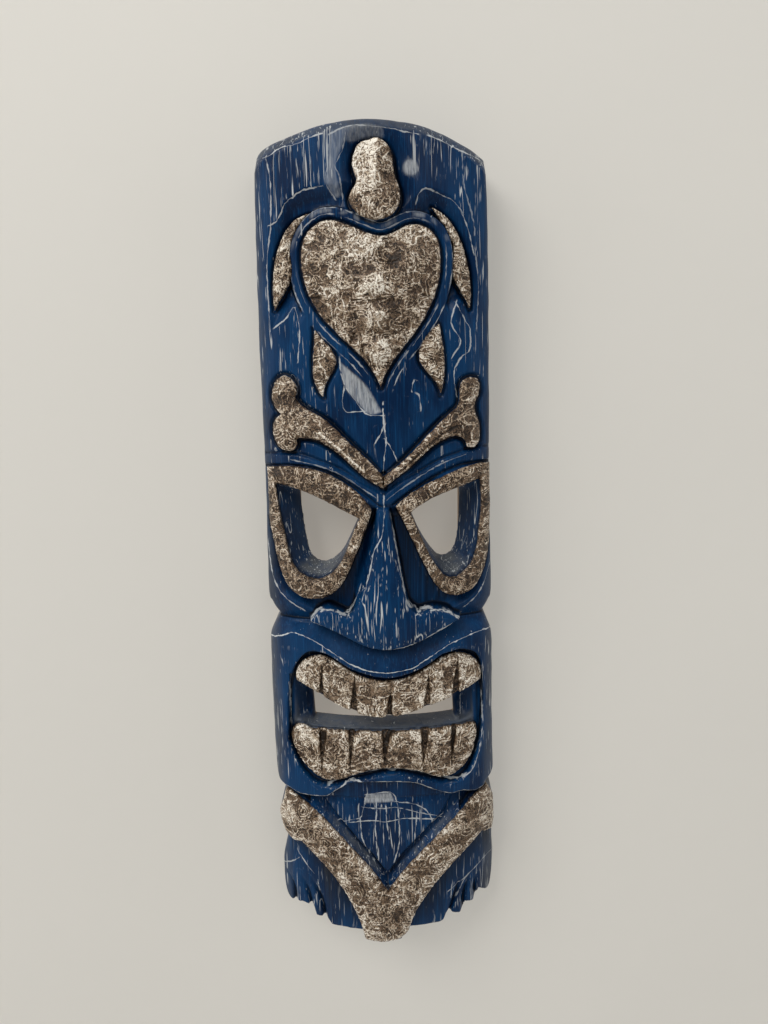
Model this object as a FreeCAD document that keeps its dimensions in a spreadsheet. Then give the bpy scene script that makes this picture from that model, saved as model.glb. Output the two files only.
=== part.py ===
import FreeCAD, Part
import Sketcher
import os

# Carved tiki wall mask: a bowed wooden face with a hollow back, thin textured skins laid over its
# relief, and a strap hanger with a swinging ring.  +X is the viewer's right, the face looks towards
# -Y, the back rests on the wall plane Y = 0, and +Z is up.  Outlines are drawn with Z measured from
# the lowest point of the wood; every finished piece is then lowered by hang_height, which puts the
# origin at the hanging point.

Vector = FreeCAD.Vector
Placement = FreeCAD.Placement
Rotation = FreeCAD.Rotation

doc = FreeCAD.newDocument("tiki_wall_mask")

# ------------------------------------------------------------------ driving dimensions
DIMENSIONS = {
    "hang_height": (508.0, "hanging point above the lowest point of the wood"),
    "reach": (80.0, "length of every outline prism, from the wall plane forwards"),
    "bow_radius": (165.0, "radius of the bowed front, about an upright axis"),
    "front_depth": (46.0, "crest of the bowed front, measured from the wall"),
    "shoulder_radius": (95.0, "tighter bow that rounds the two long sides"),
    "shoulder_depth": (56.0, "where that tighter bow would crest, measured from the wall"),
    "form_bottom": (20.0, "how far the forming cylinders run past each end of the wood"),
    "form_height": (560.0, "height of the forming cylinders"),
    "wood": (20.0, "thickness of the wood over the hollow back"),
    "skin": (1.4, "thickness of a textured skin"),
    "eye_rim_depth": (48.0, "plane of the eye holes' rims, measured from the wall"),
    "eye_throat_depth": (14.0, "plane of the eye holes' inner ends, inside the hollow back"),
    "hollow_width": (100.0, "width of the hollow back"),
    "hollow_foot": (30.0, "lower end of the hollow back"),
    "hollow_top": (450.0, "upper end of the hollow back"),
    "hollow_corner": (44.0, "radius of the four corners of the hollow back"),
    "nose_level": (9.0, "how far the nose stands over the bowed front"),
    "mouth_level": (3.0, "how far the mouth block stands over the bowed front"),
    "window_level": (-3.0, "level of the wood between the mouth block and the teeth"),
    "waist_level": (218.0, "height of the waist groove between face and mouth"),
    "waist_radius": (10.0, "half width and depth of the waist groove"),
    "notch_reach": (3.0, "how far outside the wood's edge the side notches are centred"),
    "half_width": (70.5, "half width of the wood"),
    "dome_radius": (95.0, "radius of the turtle shell's dome"),
    "dome_crest": (52.0, "crest of the dome, measured from the wall"),
    "dome_level": (405.0, "height of the dome's crest"),
    "recess_width": (34.0, "width of the hanger's recess"),
    "recess_foot": (461.0, "lower end of the hanger's recess"),
    "recess_depth": (5.0, "depth of the hanger's recess"),
    "hinge_level": (489.0, "height of the ring's hinge"),
    "wire": (1.6, "diameter of the ring's wire"),
    "bore_play": (0.08, "radial clearance of the ring's bar in the strap"),
    "ring_half": (9.0, "half width of the ring, on the wire's centreline"),
    "ring_corner": (2.5, "bend radius at the ends of the ring's bar"),
    "plate": (0.8, "thickness of the strap's sheet"),
    "strap_width": (12.0, "width of the strap"),
    "strap_foot": (464.0, "lower end of the strap"),
    "screw_upper": (481.5, "height of the upper screw"),
    "screw_lower": (473.5, "height of the lower screw"),
    "screw_shank": (2.4, "diameter of a screw's shank"),
    "screw_hole": (2.6, "diameter of a hole in the strap"),
    "screw_head": (4.6, "diameter of a screw's head"),
    "head_height": (1.1, "height of a screw's head"),
    "screw_length": (9.0, "length of a screw under its head"),
}

sheet = doc.addObject("Spreadsheet::Sheet", "Sizes")
for row, (alias, (number, meaning)) in enumerate(DIMENSIONS.items(), start=1):
    sheet.set(f"A{row}", alias)
    sheet.set(f"B{row}", str(number))
    sheet.set(f"C{row}", meaning)
    sheet.setAlias(f"B{row}", alias)
doc.recompute()


def size(alias):
    """A driving dimension, read back from the sheet."""
    return float(sheet.get(alias))


# ------------------------------------------------------------------ building blocks
FRONT_PLANE = Placement(Vector(0, 0, 0), Rotation(Vector(1, 0, 0), 90))


def outline_sketch(name, outline, distance=0.0):
    """A closed outline of (x, z) points in a plane that faces forwards.

    The outline is a list of stretches.  Each stretch starts at a corner and runs smoothly to the
    first point of the next one; a stretch of a single point is a straight line.
    """
    sketch = doc.addObject("Sketcher::SketchObject", name)
    sketch.Placement = Placement(Vector(0, -distance, 0), FRONT_PLANE.Rotation)
    for index, stretch in enumerate(outline):
        following = outline[(index + 1) % len(outline)]
        points = [Vector(x, z, 0) for x, z in stretch + following[:1]]
        if len(points) == 2:
            sketch.addGeometry(Part.LineSegment(points[0], points[1]), False)
        else:
            curve = Part.BSplineCurve()
            curve.interpolate(points)
            sketch.addGeometry(curve, False)
    return sketch


def prism(name, outline):
    """An outline run straight forwards from the wall plane."""
    solid = doc.addObject("Part::Extrusion", name)
    solid.Base = outline_sketch(name + "_outline", outline)
    solid.DirMode = "Normal"
    solid.Solid = True
    solid.setExpression("LengthFwd", "Sizes.reach")
    return solid


def cut(name, base, tool):
    result = doc.addObject("Part::Cut", name)
    result.Base = base
    result.Tool = tool
    return result


def common(name, *shapes):
    result = doc.addObject("Part::MultiCommon", name)
    result.Shapes = list(shapes)
    return result


def fuse(name, *shapes):
    result = doc.addObject("Part::MultiFuse", name)
    result.Shapes = list(shapes)
    return result


def upright_cylinder(name, radius, crest):
    """A cylinder about an upright axis; radius and crest are expressions, crest from the wall."""
    cylinder = doc.addObject("Part::Cylinder", name)
    cylinder.setExpression("Radius", radius)
    cylinder.setExpression("Height", "Sizes.form_height")
    cylinder.setExpression(".Placement.Base.y", f"({radius}) - ({crest})")
    cylinder.setExpression(".Placement.Base.z", "-Sizes.form_bottom")
    return cylinder


def front_form(name, level):
    """Everything behind the bowed front after the front is raised by level, an expression."""
    bow = upright_cylinder(
        name + "_bow", f"Sizes.bow_radius + ({level})", f"Sizes.front_depth + ({level})"
    )
    shoulder = upright_cylinder(
        name + "_shoulder", f"Sizes.shoulder_radius + ({level})", f"Sizes.shoulder_depth + ({level})"
    )
    return common(name, bow, shoulder)


FORMS = {}


def form_at(level, skins=0):
    """The bowed form at a level in millimetres, shared by every piece that uses it."""
    key = (level, skins)
    if key not in FORMS:
        name = f"form_{len(FORMS)}"
        FORMS[key] = front_form(name, f"{level} + {skins} * Sizes.skin")
    return FORMS[key]


def ball(name, radius):
    """A dome for the turtle's shell; radius is an expression."""
    sphere = doc.addObject("Part::Sphere", name)
    sphere.setExpression("Radius", radius)
    sphere.setExpression(".Placement.Base.y", "Sizes.dome_radius - Sizes.dome_crest")
    sphere.setExpression(".Placement.Base.z", "Sizes.dome_level")
    return sphere


def finish_piece(piece, node):
    """Names a finished piece and lowers it so that the hanging point is the origin."""
    piece.Label = node
    piece.setExpression(".Placement.Base.z", "-Sizes.hang_height")
    PIECES.append(piece)


PIECES = []

# ------------------------------------------------------------------ outlines, (x, z) in millimetres
WOOD = [
    [(-66, 486), (-62, 489.5), (-49.5, 493), (-27, 498), (0, 500), (27, 496.5), (51.5, 488)],
    [(63, 482), (65, 445), (66.5, 348), (67, 290), (68.5, 234), (67, 225)],
    [(63.5, 218), (66.5, 211), (69, 200), (69.5, 160), (70.5, 120), (70, 109)],
    [(64.5, 105), (69, 98), (71, 85), (71.5, 60), (72, 42), (71, 26), (68, 18.5)],
    [(61.5, 22.5), (58, 15.5)],
    [(52.5, 16), (49, 9)],
    [(39.5, 11), (35, 5)],
    [(15, 4.5), (8, 2), (-8, 0), (-15, 2)],
    [(-37, 4), (-41, 8.5)],
    [(-47.5, 9), (-50, 15)],
    [(-56.5, 17), (-61, 15.5), (-66.5, 16.5), (-69.5, 26), (-69, 46)],
    [(-65.5, 62), (-69, 70), (-69.5, 82), (-64.5, 100)],
    [(-64, 104), (-69.5, 111), (-70.5, 145), (-70, 198), (-68.5, 209)],
    [(-63.5, 218), (-68, 226), (-70, 237), (-68.5, 314), (-68.5, 391), (-67, 464)],
]

VALLEY = [[(-75, 212)], [(-75, 256)], [(-40, 292)], [(3, 291)], [(44, 292)], [(75, 256)], [(75, 212)]]

NOSE = [
    [(-2.5, 287.5), (-6.5, 264), (-14, 233), (-17, 227)],
    [(-21.5, 226.5), (-31.5, 230), (-40, 223)],
    [(-43.5, 217.5), (-28, 212), (-6.5, 203.5), (11.5, 203), (30, 208.5)],
    [(48, 216.5), (41, 225.5), (31.5, 228), (23, 225)],
    [(18.5, 232.5), (13.5, 256.5), (9, 277)],
    [(7, 287.5)],
]

MOUTH_BLOCK = [
    [(-75, 205)],
    [(-53.5, 209), (-41.5, 206), (-22, 193), (2, 186), (24.5, 192), (42, 202), (57.5, 207.5)],
    [(75, 206)],
    [(75, 104)],
    [(57, 103), (42, 103.5), (29, 109.5), (-2, 116), (-28, 110), (-40, 105)],
    [(-54, 104)],
    [(-75, 104)],
]

MOUTH_WINDOW = [
    [(-60, 138), (-57, 178), (-47, 197), (-34, 198), (-18, 188.5), (3, 183), (22, 187.5)],
    [(37, 196.5), (50, 198), (60, 190)],
    [(63, 165), (60.5, 136), (52, 115.5), (38, 111), (4, 120), (-34, 110.5), (-50, 117.5)],
]

MOUTH_GAP = [
    [(-44, 149)],
    [(-45, 171), (-27, 164), (-12, 158), (4, 157), (20, 160), (33, 163)],
    [(44, 168)],
    [(45, 149)],
]

POCKET_LEFT = [
    [(-59, 447), (-49, 458.5), (-39, 464), (-19, 464.5)],
    [(-16, 454), (-26, 454.5), (-35.5, 449), (-43.5, 438), (-44.5, 415)],
    [(-43, 393)],
    [(-46, 402), (-50.5, 397)],
    [(-59.5, 389)],
    [(-62, 418.5)],
]

POCKET_RIGHT = [
    [(17, 454)],
    [(25.5, 462), (37.5, 461.5), (46, 456), (52, 445), (59, 413)],
    [(56, 388), (47.5, 401.5)],
    [(43, 393.5)],
    [(41.5, 412), (42.5, 432), (37, 447), (27, 454)],
]

HAND_LEFT = [
    [(-80, 72)],
    [(-60.5, 72), (-51.5, 71), (-39, 58), (-23.5, 37.5), (-11.5, 6)],
    [(-11.5, -5)],
    [(-80, -5)],
]

HAND_RIGHT = [
    [(10, -5)],
    [(10, 10), (19, 28), (32, 45), (47, 62), (60, 73)],
    [(80, 73)],
    [(80, -5)],
]

CHIN_FIELD = [
    [(-52, 100)],
    [(-22, 68), (-10, 54)],
    [(1, 38)],
    [(12.5, 53.5), (35, 76)],
    [(55, 98), (42, 107), (29, 113), (-2, 119.5), (-28, 113.5), (-40, 108)],
]

EYE_LEFT_OUTER = [
    [(-66.5, 311), (-51.5, 312), (-39, 310.5), (-21.5, 303.5)],
    [(-4, 286.5), (-8, 274.5), (-17, 253), (-25, 239), (-38, 232), (-52, 235), (-61, 250.5)],
    [(-66.5, 277)],
]
EYE_LEFT_INNER = [
    [(-61.5, 301.5), (-46, 298), (-23.5, 287.5)],
    [(-11.5, 281), (-19.5, 262.5), (-27, 250), (-38, 244.5), (-49.5, 249), (-55.5, 264), (-59.5, 285)],
]
EYE_LEFT_BACK = [
    [(-49, 300), (-38, 295), (-22, 289)],
    [(-11.5, 281), (-18.5, 267), (-24.5, 258), (-33, 253), (-40.5, 256), (-44, 268), (-47, 285)],
]
EYE_RIGHT_OUTER = [
    [(67, 311), (57.5, 311), (39.5, 305.5), (22, 297.5)],
    [(9.5, 288), (17.5, 272), (28.5, 248), (41, 233), (53.5, 234), (62.5, 245.5), (66.5, 265)],
    [(67.5, 290)],
]
EYE_RIGHT_INNER = [
    [(60, 302.5), (42.5, 296.5), (24.5, 288.5)],
    [(18.5, 284), (24.5, 269.5), (32.5, 253), (42.5, 243.5), (53.5, 250), (59.5, 271), (61, 286)],
]
EYE_RIGHT_BACK = [
    [(49, 300), (38, 296), (25, 290)],
    [(18, 284), (23, 272), (30, 261), (37, 254.5), (44, 259), (48, 272), (49.5, 286)],
]

TURTLE_HEAD = [
    [(1, 484.5), (-2, 487.5), (-6, 486.5), (-10, 480), (-10, 472), (-8.5, 467), (-12.5, 459.5),
     (-9, 450.5), (1.5, 446.5), (11.5, 450), (15, 459), (12, 471.5), (11, 480), (8, 485.5),
     (4.5, 487.5)],
]

TURTLE_SHELL = [
    [(-1, 439.5), (-14.5, 445), (-26, 447.5), (-38, 439), (-40.5, 426), (-35.5, 405.5),
     (-22, 387.5), (-5.5, 371)],
    [(2.5, 356.5), (9.5, 371), (20, 384), (32.5, 404), (37, 424), (33, 440), (22, 444.5), (9, 439.5)],
]

FRONT_FLIPPER_LEFT = [
    [(-35, 452), (-46, 447), (-54, 434), (-58, 412.5)],
    [(-57.5, 400.5), (-51, 410.5), (-46.5, 419), (-46.5, 434), (-41, 446)],
]
FRONT_FLIPPER_RIGHT = [
    [(32, 454), (42.5, 447), (50.5, 432), (54.5, 413)],
    [(54, 399.5), (48, 410.5), (44, 419), (44.5, 431.5), (38, 446)],
]
REAR_FLIPPER_LEFT = [
    [(-34.5, 390.5), (-36, 370), (-33, 355)],
    [(-30, 351.5), (-26, 364), (-22.5, 372), (-27, 381)],
]
REAR_FLIPPER_RIGHT = [
    [(36, 391.5), (39, 371.5), (38, 357)],
    [(36.5, 351.5), (32, 361.5), (24.5, 372), (28, 384)],
]

BROW_BONE_LEFT = [
    [(3, 306), (-7, 317), (-18, 327.5), (-32, 340.5), (-44, 348)],
    [(-47, 352), (-46.5, 359.5), (-53, 364.5), (-60, 358.5), (-60.5, 349)],
    [(-56, 342.5), (-61, 336), (-61, 329.5), (-55, 321.5), (-48.5, 322)],
    [(-47, 328), (-36, 327.5), (-24, 320.5), (-10, 307.5)],
    [(3, 299)],
]
BROW_BONE_RIGHT = [
    [(3, 299)],
    [(13, 307), (22, 314), (34, 324), (49, 327)],
    [(52, 321.5), (57, 321.5), (60, 332), (57, 342.5)],
    [(59, 351), (55, 361.5), (49, 359), (47.5, 350)],
    [(45.5, 344), (36.5, 336.5), (25, 325), (13, 313.5)],
    [(3, 306)],
]

UPPER_TEETH = [
    [(-53.5, 179), (-50.5, 190), (-38.5, 196), (-19, 186.5), (2, 180.5), (20.5, 184.5), (46.5, 195.5),
     (58, 189)],
    [(61, 175.5)],
    [(42, 167), (23, 161), (3.5, 157), (-12.5, 158.5), (-35, 168.5)],
]

LOWER_TEETH = [
    [(-58.5, 141), (-53, 149)],
    [(-45.5, 147)],
    [(50, 147), (56.5, 147)],
    [(57.5, 134.5), (52.5, 122), (40, 114), (21.5, 119.5), (4, 122.5), (-14.5, 119.5), (-36, 113.5),
     (-51, 123.5)],
]

CHIN_CHEVRON = [
    [(-62, 103.5), (-68, 94), (-68.5, 80), (-63.5, 70)],
    [(-54.5, 68.5), (-42, 56.5), (-26.5, 35.5), (-18.5, 18)],
    [(-14.5, 3.5), (-3, 1.5), (8.5, 4)],
    [(14, 9.5), (22, 28), (35, 45), (50, 60)],
    [(62, 70.5)],
    [(70, 68.5), (71, 90)],
    [(65, 103.5)],
    [(54.5, 96), (35, 76), (12.5, 53.5)],
    [(1, 37.5)],
    [(-10, 54), (-22, 68), (-42, 89.5)],
]

# ------------------------------------------------------------------ carved body
# Fields sunk below the bowed front, each at its own level.
SUNK = {
    "valley": (VALLEY, -8.0),
    "pocket_left": (POCKET_LEFT, -5.0),
    "pocket_right": (POCKET_RIGHT, -5.0),
    "hand_left": (HAND_LEFT, -8.0),
    "hand_right": (HAND_RIGHT, -8.0),
    "chin_field": (CHIN_FIELD, -3.0),
}
# Skins, by node: outline, opening inside it or None, and the level of the wood under it.
SKINS = {
    "turtle_head": (TURTLE_HEAD, None, 3.0),
    "front_flipper_left": (FRONT_FLIPPER_LEFT, None, -2.0),
    "front_flipper_right": (FRONT_FLIPPER_RIGHT, None, -2.0),
    "rear_flipper_left": (REAR_FLIPPER_LEFT, None, 0.5),
    "rear_flipper_right": (REAR_FLIPPER_RIGHT, None, 0.5),
    "brow_bone_left": (BROW_BONE_LEFT, None, 2.0),
    "brow_bone_right": (BROW_BONE_RIGHT, None, 2.0),
    "eye_surround_left": (EYE_LEFT_OUTER, EYE_LEFT_INNER, 0.0),
    "eye_surround_right": (EYE_RIGHT_OUTER, EYE_RIGHT_INNER, 0.0),
    "upper_teeth": (UPPER_TEETH, None, 0.5),
    "lower_teeth": (LOWER_TEETH, None, -1.0),
    "chin_chevron": (CHIN_CHEVRON, None, 1.0),
}


WOOD_PRISM = prism("wood_prism", WOOD)


def sunk_tool(name, outline, level):
    return cut(name + "_tool", prism(name + "_prism", outline), form_at(level))


def raised_relief(name, outline, level):
    return common(name + "_relief", prism(name + "_prism", outline), form_at(level))


def eye_tool(name, front, back):
    """A tapering hole from an eye's rim back into the hollow."""
    rim = outline_sketch(name + "_rim", front, size("eye_rim_depth"))
    throat = outline_sketch(name + "_throat", back, size("eye_throat_depth"))
    tool = doc.addObject("Part::Loft", name + "_tool")
    tool.Sections = [rim, throat]
    tool.Solid = True
    tool.Ruled = True
    return tool


def hollow_tool():
    """A round-ended trough whose floor keeps the wood at one thickness."""
    trough = doc.addObject("Part::Box", "trough")
    trough.setExpression("Length", "Sizes.hollow_width")
    trough.setExpression("Width", "Sizes.reach")
    trough.setExpression("Height", "Sizes.hollow_top - Sizes.hollow_foot")
    trough.setExpression(".Placement.Base.x", "-Sizes.hollow_width / 2")
    trough.setExpression(".Placement.Base.y", "-Sizes.reach / 2")
    trough.setExpression(".Placement.Base.z", "Sizes.hollow_foot")
    rounded = doc.addObject("Part::Fillet", "trough_rounded")
    rounded.Base = trough
    doc.recompute()
    corner = size("hollow_corner")
    depth_edges = [
        index
        for index, edge in enumerate(trough.Shape.Edges, start=1)
        if abs(edge.tangentAt(edge.FirstParameter).y) > 0.9
    ]
    rounded.Edges = [(index, corner, corner) for index in depth_edges]
    floor = upright_cylinder(
        "hollow_floor", "Sizes.bow_radius - Sizes.wood", "Sizes.front_depth - Sizes.wood"
    )
    return common("hollow_tool", rounded, floor)


def waist_tools():
    """The groove that follows the bow between face and mouth, and its notches in the two sides."""
    groove = doc.addObject("Part::Torus", "waist_groove")
    groove.setExpression("Radius1", "Sizes.bow_radius")
    groove.setExpression("Radius2", "Sizes.waist_radius")
    groove.setExpression(".Placement.Base.y", "Sizes.bow_radius - Sizes.front_depth")
    groove.setExpression(".Placement.Base.z", "Sizes.waist_level")
    notches = []
    for side, sign in ("left", -1), ("right", 1):
        notch = doc.addObject("Part::Cylinder", f"waist_notch_{side}")
        notch.Placement = FRONT_PLANE
        notch.setExpression("Radius", "Sizes.waist_radius")
        notch.setExpression("Height", "Sizes.reach")
        notch.setExpression(
            ".Placement.Base.x", f"{sign} * (Sizes.half_width + Sizes.notch_reach)"
        )
        notch.setExpression(".Placement.Base.z", "Sizes.waist_level")
        notches.append(notch)
    return [groove] + notches


def recess_tool():
    """The hanger's recess, open at the top edge of the back."""
    recess = doc.addObject("Part::Box", "recess")
    recess.setExpression("Length", "Sizes.recess_width")
    recess.setExpression("Width", "2 * Sizes.recess_depth")
    recess.setExpression("Height", "Sizes.hang_height - Sizes.recess_foot")
    recess.setExpression(".Placement.Base.x", "-Sizes.recess_width / 2")
    recess.setExpression(".Placement.Base.y", "-Sizes.recess_depth")
    recess.setExpression(".Placement.Base.z", "Sizes.recess_foot")
    return recess


def screw_bores():
    """The screws' own holes in the wood, the same size as their shanks."""
    bores = []
    for label in "upper", "lower":
        bore = doc.addObject("Part::Cylinder", f"screw_bore_{label}")
        bore.Placement = FRONT_PLANE
        bore.setExpression("Radius", "Sizes.screw_shank / 2")
        bore.setExpression("Height", "Sizes.screw_length + Sizes.recess_depth - Sizes.plate")
        bore.setExpression(".Placement.Base.z", f"Sizes.screw_{label}")
        bores.append(bore)
    return bores


def carved_body():
    blank = common("blank", WOOD_PRISM, form_at(0.0))
    sunk = [sunk_tool(name, outline, level) for name, (outline, level) in SUNK.items()]
    window = sunk_tool("mouth_window", MOUTH_WINDOW, size("window_level"))
    shell = prism("shell_pad_prism", TURTLE_SHELL)
    shell_ball = ball("shell_ball", "Sizes.dome_radius")
    around_shell = cut("around_shell", shell, shell_ball)
    tools = sunk + waist_tools() + [window, around_shell]
    roughed = cut("roughed", blank, fuse("sunk_tools", *tools))

    nose = raised_relief("nose", NOSE, size("nose_level"))
    whole_block = raised_relief("mouth_block", MOUTH_BLOCK, size("mouth_level"))
    block = cut("mouth_block_cut", whole_block, window)
    dome = common("shell_pad", shell, shell_ball)
    pads = [
        raised_relief(node + "_pad", outline, level) for node, (outline, _, level) in SKINS.items()
    ]
    relief = common("relief_in_outline", fuse("relief", nose, block, dome, *pads), WOOD_PRISM)
    carved = fuse("carved", roughed, relief)

    openings = [
        hollow_tool(),
        eye_tool("eye_left", EYE_LEFT_INNER, EYE_LEFT_BACK),
        eye_tool("eye_right", EYE_RIGHT_INNER, EYE_RIGHT_BACK),
        prism("mouth_gap", MOUTH_GAP),
        recess_tool(),
    ]
    return cut("body", carved, fuse("opening_tools", *(openings + screw_bores())))


def skin_piece(node, outline, opening, level):
    """A skin of even thickness over the wood at its level."""
    layer = cut(node + "_layer", form_at(level, skins=1), form_at(level))
    sheet_form = common(node + "_sheet", layer, prism(node + "_prism", outline), WOOD_PRISM)
    if opening:
        return cut(node + "_skin", sheet_form, eye_tool(node + "_hole", opening, opening))
    return sheet_form


def shell_skin():
    layer = cut(
        "shell_layer",
        ball("shell_outer_ball", "Sizes.dome_radius + Sizes.skin"),
        ball("shell_inner_ball", "Sizes.dome_radius"),
    )
    return common("shell_skin", layer, prism("shell_prism", TURTLE_SHELL))


finish_piece(carved_body(), "carved_body")
for node, (outline, opening, level) in SKINS.items():
    finish_piece(skin_piece(node, outline, opening, level), node)
finish_piece(shell_skin(), "turtle_shell")

# ------------------------------------------------------------------ strap hanger
HINGE_BACK = "(Sizes.recess_depth - Sizes.wire / 2 - Sizes.bore_play - Sizes.plate)"


def origin_plane(body, role):
    return next(item for item in body.Origin.OriginFeatures if item.Role == role)


def body_sketch(body, name, role):
    sketch = body.newObject("Sketcher::SketchObject", name)
    sketch.AttachmentSupport = [(origin_plane(body, role), "")]
    sketch.MapMode = "FlatFace"
    return sketch


def set_length(sketch, constraint, expression):
    """Adds a dimensional constraint and binds it to the sheet."""
    index = sketch.addConstraint(constraint)
    sketch.setExpression(f"Constraints[{index}]", expression)


def hanger_strap():
    """A sheet strap, screwed flat in the recess, curled at its top round the ring's bar."""
    body = doc.addObject("PartDesign::Body", "strap_body")

    outline = body_sketch(body, "strap_outline", "XZ_Plane")
    half = size("strap_width") / 2
    top = 0.0
    foot = size("strap_foot") - size("hinge_level")
    shoulder = foot + half
    outline.addGeometry(Part.LineSegment(Vector(-half, top, 0), Vector(half, top, 0)), False)
    outline.addGeometry(Part.LineSegment(Vector(half, top, 0), Vector(half, shoulder, 0)), False)
    outline.addGeometry(
        Part.Arc(Vector(half, shoulder, 0), Vector(0, foot, 0), Vector(-half, shoulder, 0)), False
    )
    outline.addGeometry(Part.LineSegment(Vector(-half, shoulder, 0), Vector(-half, top, 0)), False)

    plate = body.newObject("PartDesign::Pad", "strap_plate")
    plate.Profile = outline
    plate.setExpression("Length", "Sizes.plate")

    curl = body_sketch(body, "strap_curl", "YZ_Plane")
    centre = Vector(size("wire") / 2 + size("bore_play"), 0, 0)
    bore = "Sizes.wire + 2 * Sizes.bore_play"
    for diameter in bore, bore + " + 2 * Sizes.plate":
        circle = curl.addGeometry(Part.Circle(centre, Vector(0, 0, 1), 1.0), False)
        set_length(curl, Sketcher.Constraint("Diameter", circle, 1.0), diameter)
        set_length(
            curl,
            Sketcher.Constraint("DistanceX", -1, 1, circle, 3, centre.x),
            "Sizes.wire / 2 + Sizes.bore_play",
        )
        curl.addConstraint(Sketcher.Constraint("PointOnObject", circle, 3, -1))

    knuckle = body.newObject("PartDesign::Pad", "strap_knuckle")
    knuckle.Profile = curl
    knuckle.Midplane = True
    knuckle.setExpression("Length", "Sizes.strap_width")

    holes = body_sketch(body, "strap_holes", "XZ_Plane")
    for label in "upper", "lower":
        drop = size("screw_" + label) - size("hinge_level")
        circle = holes.addGeometry(Part.Circle(Vector(0, drop, 0), Vector(0, 0, 1), 1.0), False)
        set_length(holes, Sketcher.Constraint("Diameter", circle, 1.0), "Sizes.screw_hole")
        set_length(
            holes,
            Sketcher.Constraint("DistanceY", circle, 3, -1, 1, -drop),
            f"Sizes.hinge_level - Sizes.screw_{label}",
        )
        holes.addConstraint(Sketcher.Constraint("PointOnObject", circle, 3, -2))
    doc.recompute()
    before = body.Shape.Volume
    drilling = body.newObject("PartDesign::Pocket", "strap_drilling")
    drilling.Profile = holes
    drilling.Type = "ThroughAll"
    drilling.Midplane = True
    body.Tip = drilling
    doc.recompute()
    if not body.Shape.Volume < before - 1.0:
        raise RuntimeError("the strap's holes cut nothing")
    body.setExpression(".Placement.Base.y", "-(Sizes.recess_depth - Sizes.plate)")
    return body


def hanger_ring():
    """A D of round wire: a straight bar in the strap's curl, two legs and a half-round top."""
    body = doc.addObject("PartDesign::Body", "ring_body")
    half = size("ring_half")
    corner = size("ring_corner")
    top = size("hang_height") + size("wire") / 2 - size("hinge_level")
    spring_line = top - half
    slant = corner * (1 - 2 ** -0.5)

    path = body_sketch(body, "ring_path", "XZ_Plane")
    path.addGeometry(Part.LineSegment(Vector(0, 0, 0), Vector(half - corner, 0, 0)), False)
    path.addGeometry(
        Part.Arc(
            Vector(half - corner, 0, 0), Vector(half - slant, slant, 0), Vector(half, corner, 0)
        ),
        False,
    )
    path.addGeometry(Part.LineSegment(Vector(half, corner, 0), Vector(half, spring_line, 0)), False)
    path.addGeometry(
        Part.Arc(Vector(half, spring_line, 0), Vector(0, top, 0), Vector(-half, spring_line, 0)),
        False,
    )
    path.addGeometry(Part.LineSegment(Vector(-half, spring_line, 0), Vector(-half, corner, 0)), False)
    path.addGeometry(
        Part.Arc(
            Vector(-half, corner, 0), Vector(slant - half, slant, 0), Vector(corner - half, 0, 0)
        ),
        False,
    )
    path.addGeometry(Part.LineSegment(Vector(corner - half, 0, 0), Vector(0, 0, 0)), False)

    section = body_sketch(body, "ring_section", "YZ_Plane")
    circle = section.addGeometry(Part.Circle(Vector(0, 0, 0), Vector(0, 0, 1), 1.0), False)
    set_length(section, Sketcher.Constraint("Diameter", circle, 1.0), "Sizes.wire")
    section.addConstraint(Sketcher.Constraint("Coincident", circle, 3, -1, 1))
    doc.recompute()

    pipe = body.newObject("PartDesign::AdditivePipe", "ring_pipe")
    pipe.Profile = section
    pipe.Spine = (path, [f"Edge{index}" for index in range(1, 8)])
    body.Tip = pipe
    body.setExpression(".Placement.Base.y", "-" + HINGE_BACK)
    return body


def hanger_screws():
    """Two screws: a domed head on the strap, a shank into the wood and a tapered point."""
    seat = "-(Sizes.recess_depth - Sizes.plate)"
    back_plane = Rotation(Vector(1, 0, 0), -90)
    screws = []
    for label in "upper", "lower":
        head = doc.addObject("Part::Cone", f"screw_head_{label}")
        head.Placement = Placement(Vector(0, 0, 0), back_plane)
        head.setExpression("Radius1", "Sizes.screw_head / 2")
        head.setExpression("Radius2", "Sizes.screw_head / 3")
        head.setExpression("Height", "Sizes.head_height")
        head.setExpression(".Placement.Base.y", seat)

        shank = doc.addObject("Part::Cylinder", f"screw_shank_{label}")
        shank.Placement = FRONT_PLANE
        shank.setExpression("Radius", "Sizes.screw_shank / 2")
        shank.setExpression("Height", "Sizes.screw_length - Sizes.screw_shank")
        shank.setExpression(".Placement.Base.y", seat)

        point = doc.addObject("Part::Cone", f"screw_point_{label}")
        point.Placement = FRONT_PLANE
        point.setExpression("Radius1", "Sizes.screw_shank / 2")
        point.setExpression("Radius2", "Sizes.screw_shank / 12")
        point.setExpression("Height", "Sizes.screw_shank")
        point.setExpression(".Placement.Base.y", f"{seat} - Sizes.screw_length + Sizes.screw_shank")

        screw = fuse(f"screw_{label}", head, shank, point)
        screw.setExpression(".Placement.Base.z", f"Sizes.screw_{label}")
        screws.append(screw)
    pair = doc.addObject("Part::Compound", "screw_pair")
    pair.Links = screws
    return pair


for build, node in (hanger_strap, "hanger_strap"), (hanger_ring, "hanger_ring"):
    hardware = build()
    hardware.Label = node
    hardware.setExpression(".Placement.Base.z", "Sizes.hinge_level - Sizes.hang_height")
    PIECES.append(hardware)
finish_piece(hanger_screws(), "hanger_screws")

# ------------------------------------------------------------------ checks and export
doc.recompute()
failed = [item.Name for item in doc.Objects if {"Invalid", "Error"} & set(item.State)]
if failed:
    raise RuntimeError(f"these objects did not build: {failed}")
for piece in PIECES:
    if piece.Shape.isNull() or not piece.Shape.isValid():
        raise RuntimeError(f"{piece.Label} has no valid shape")

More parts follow.
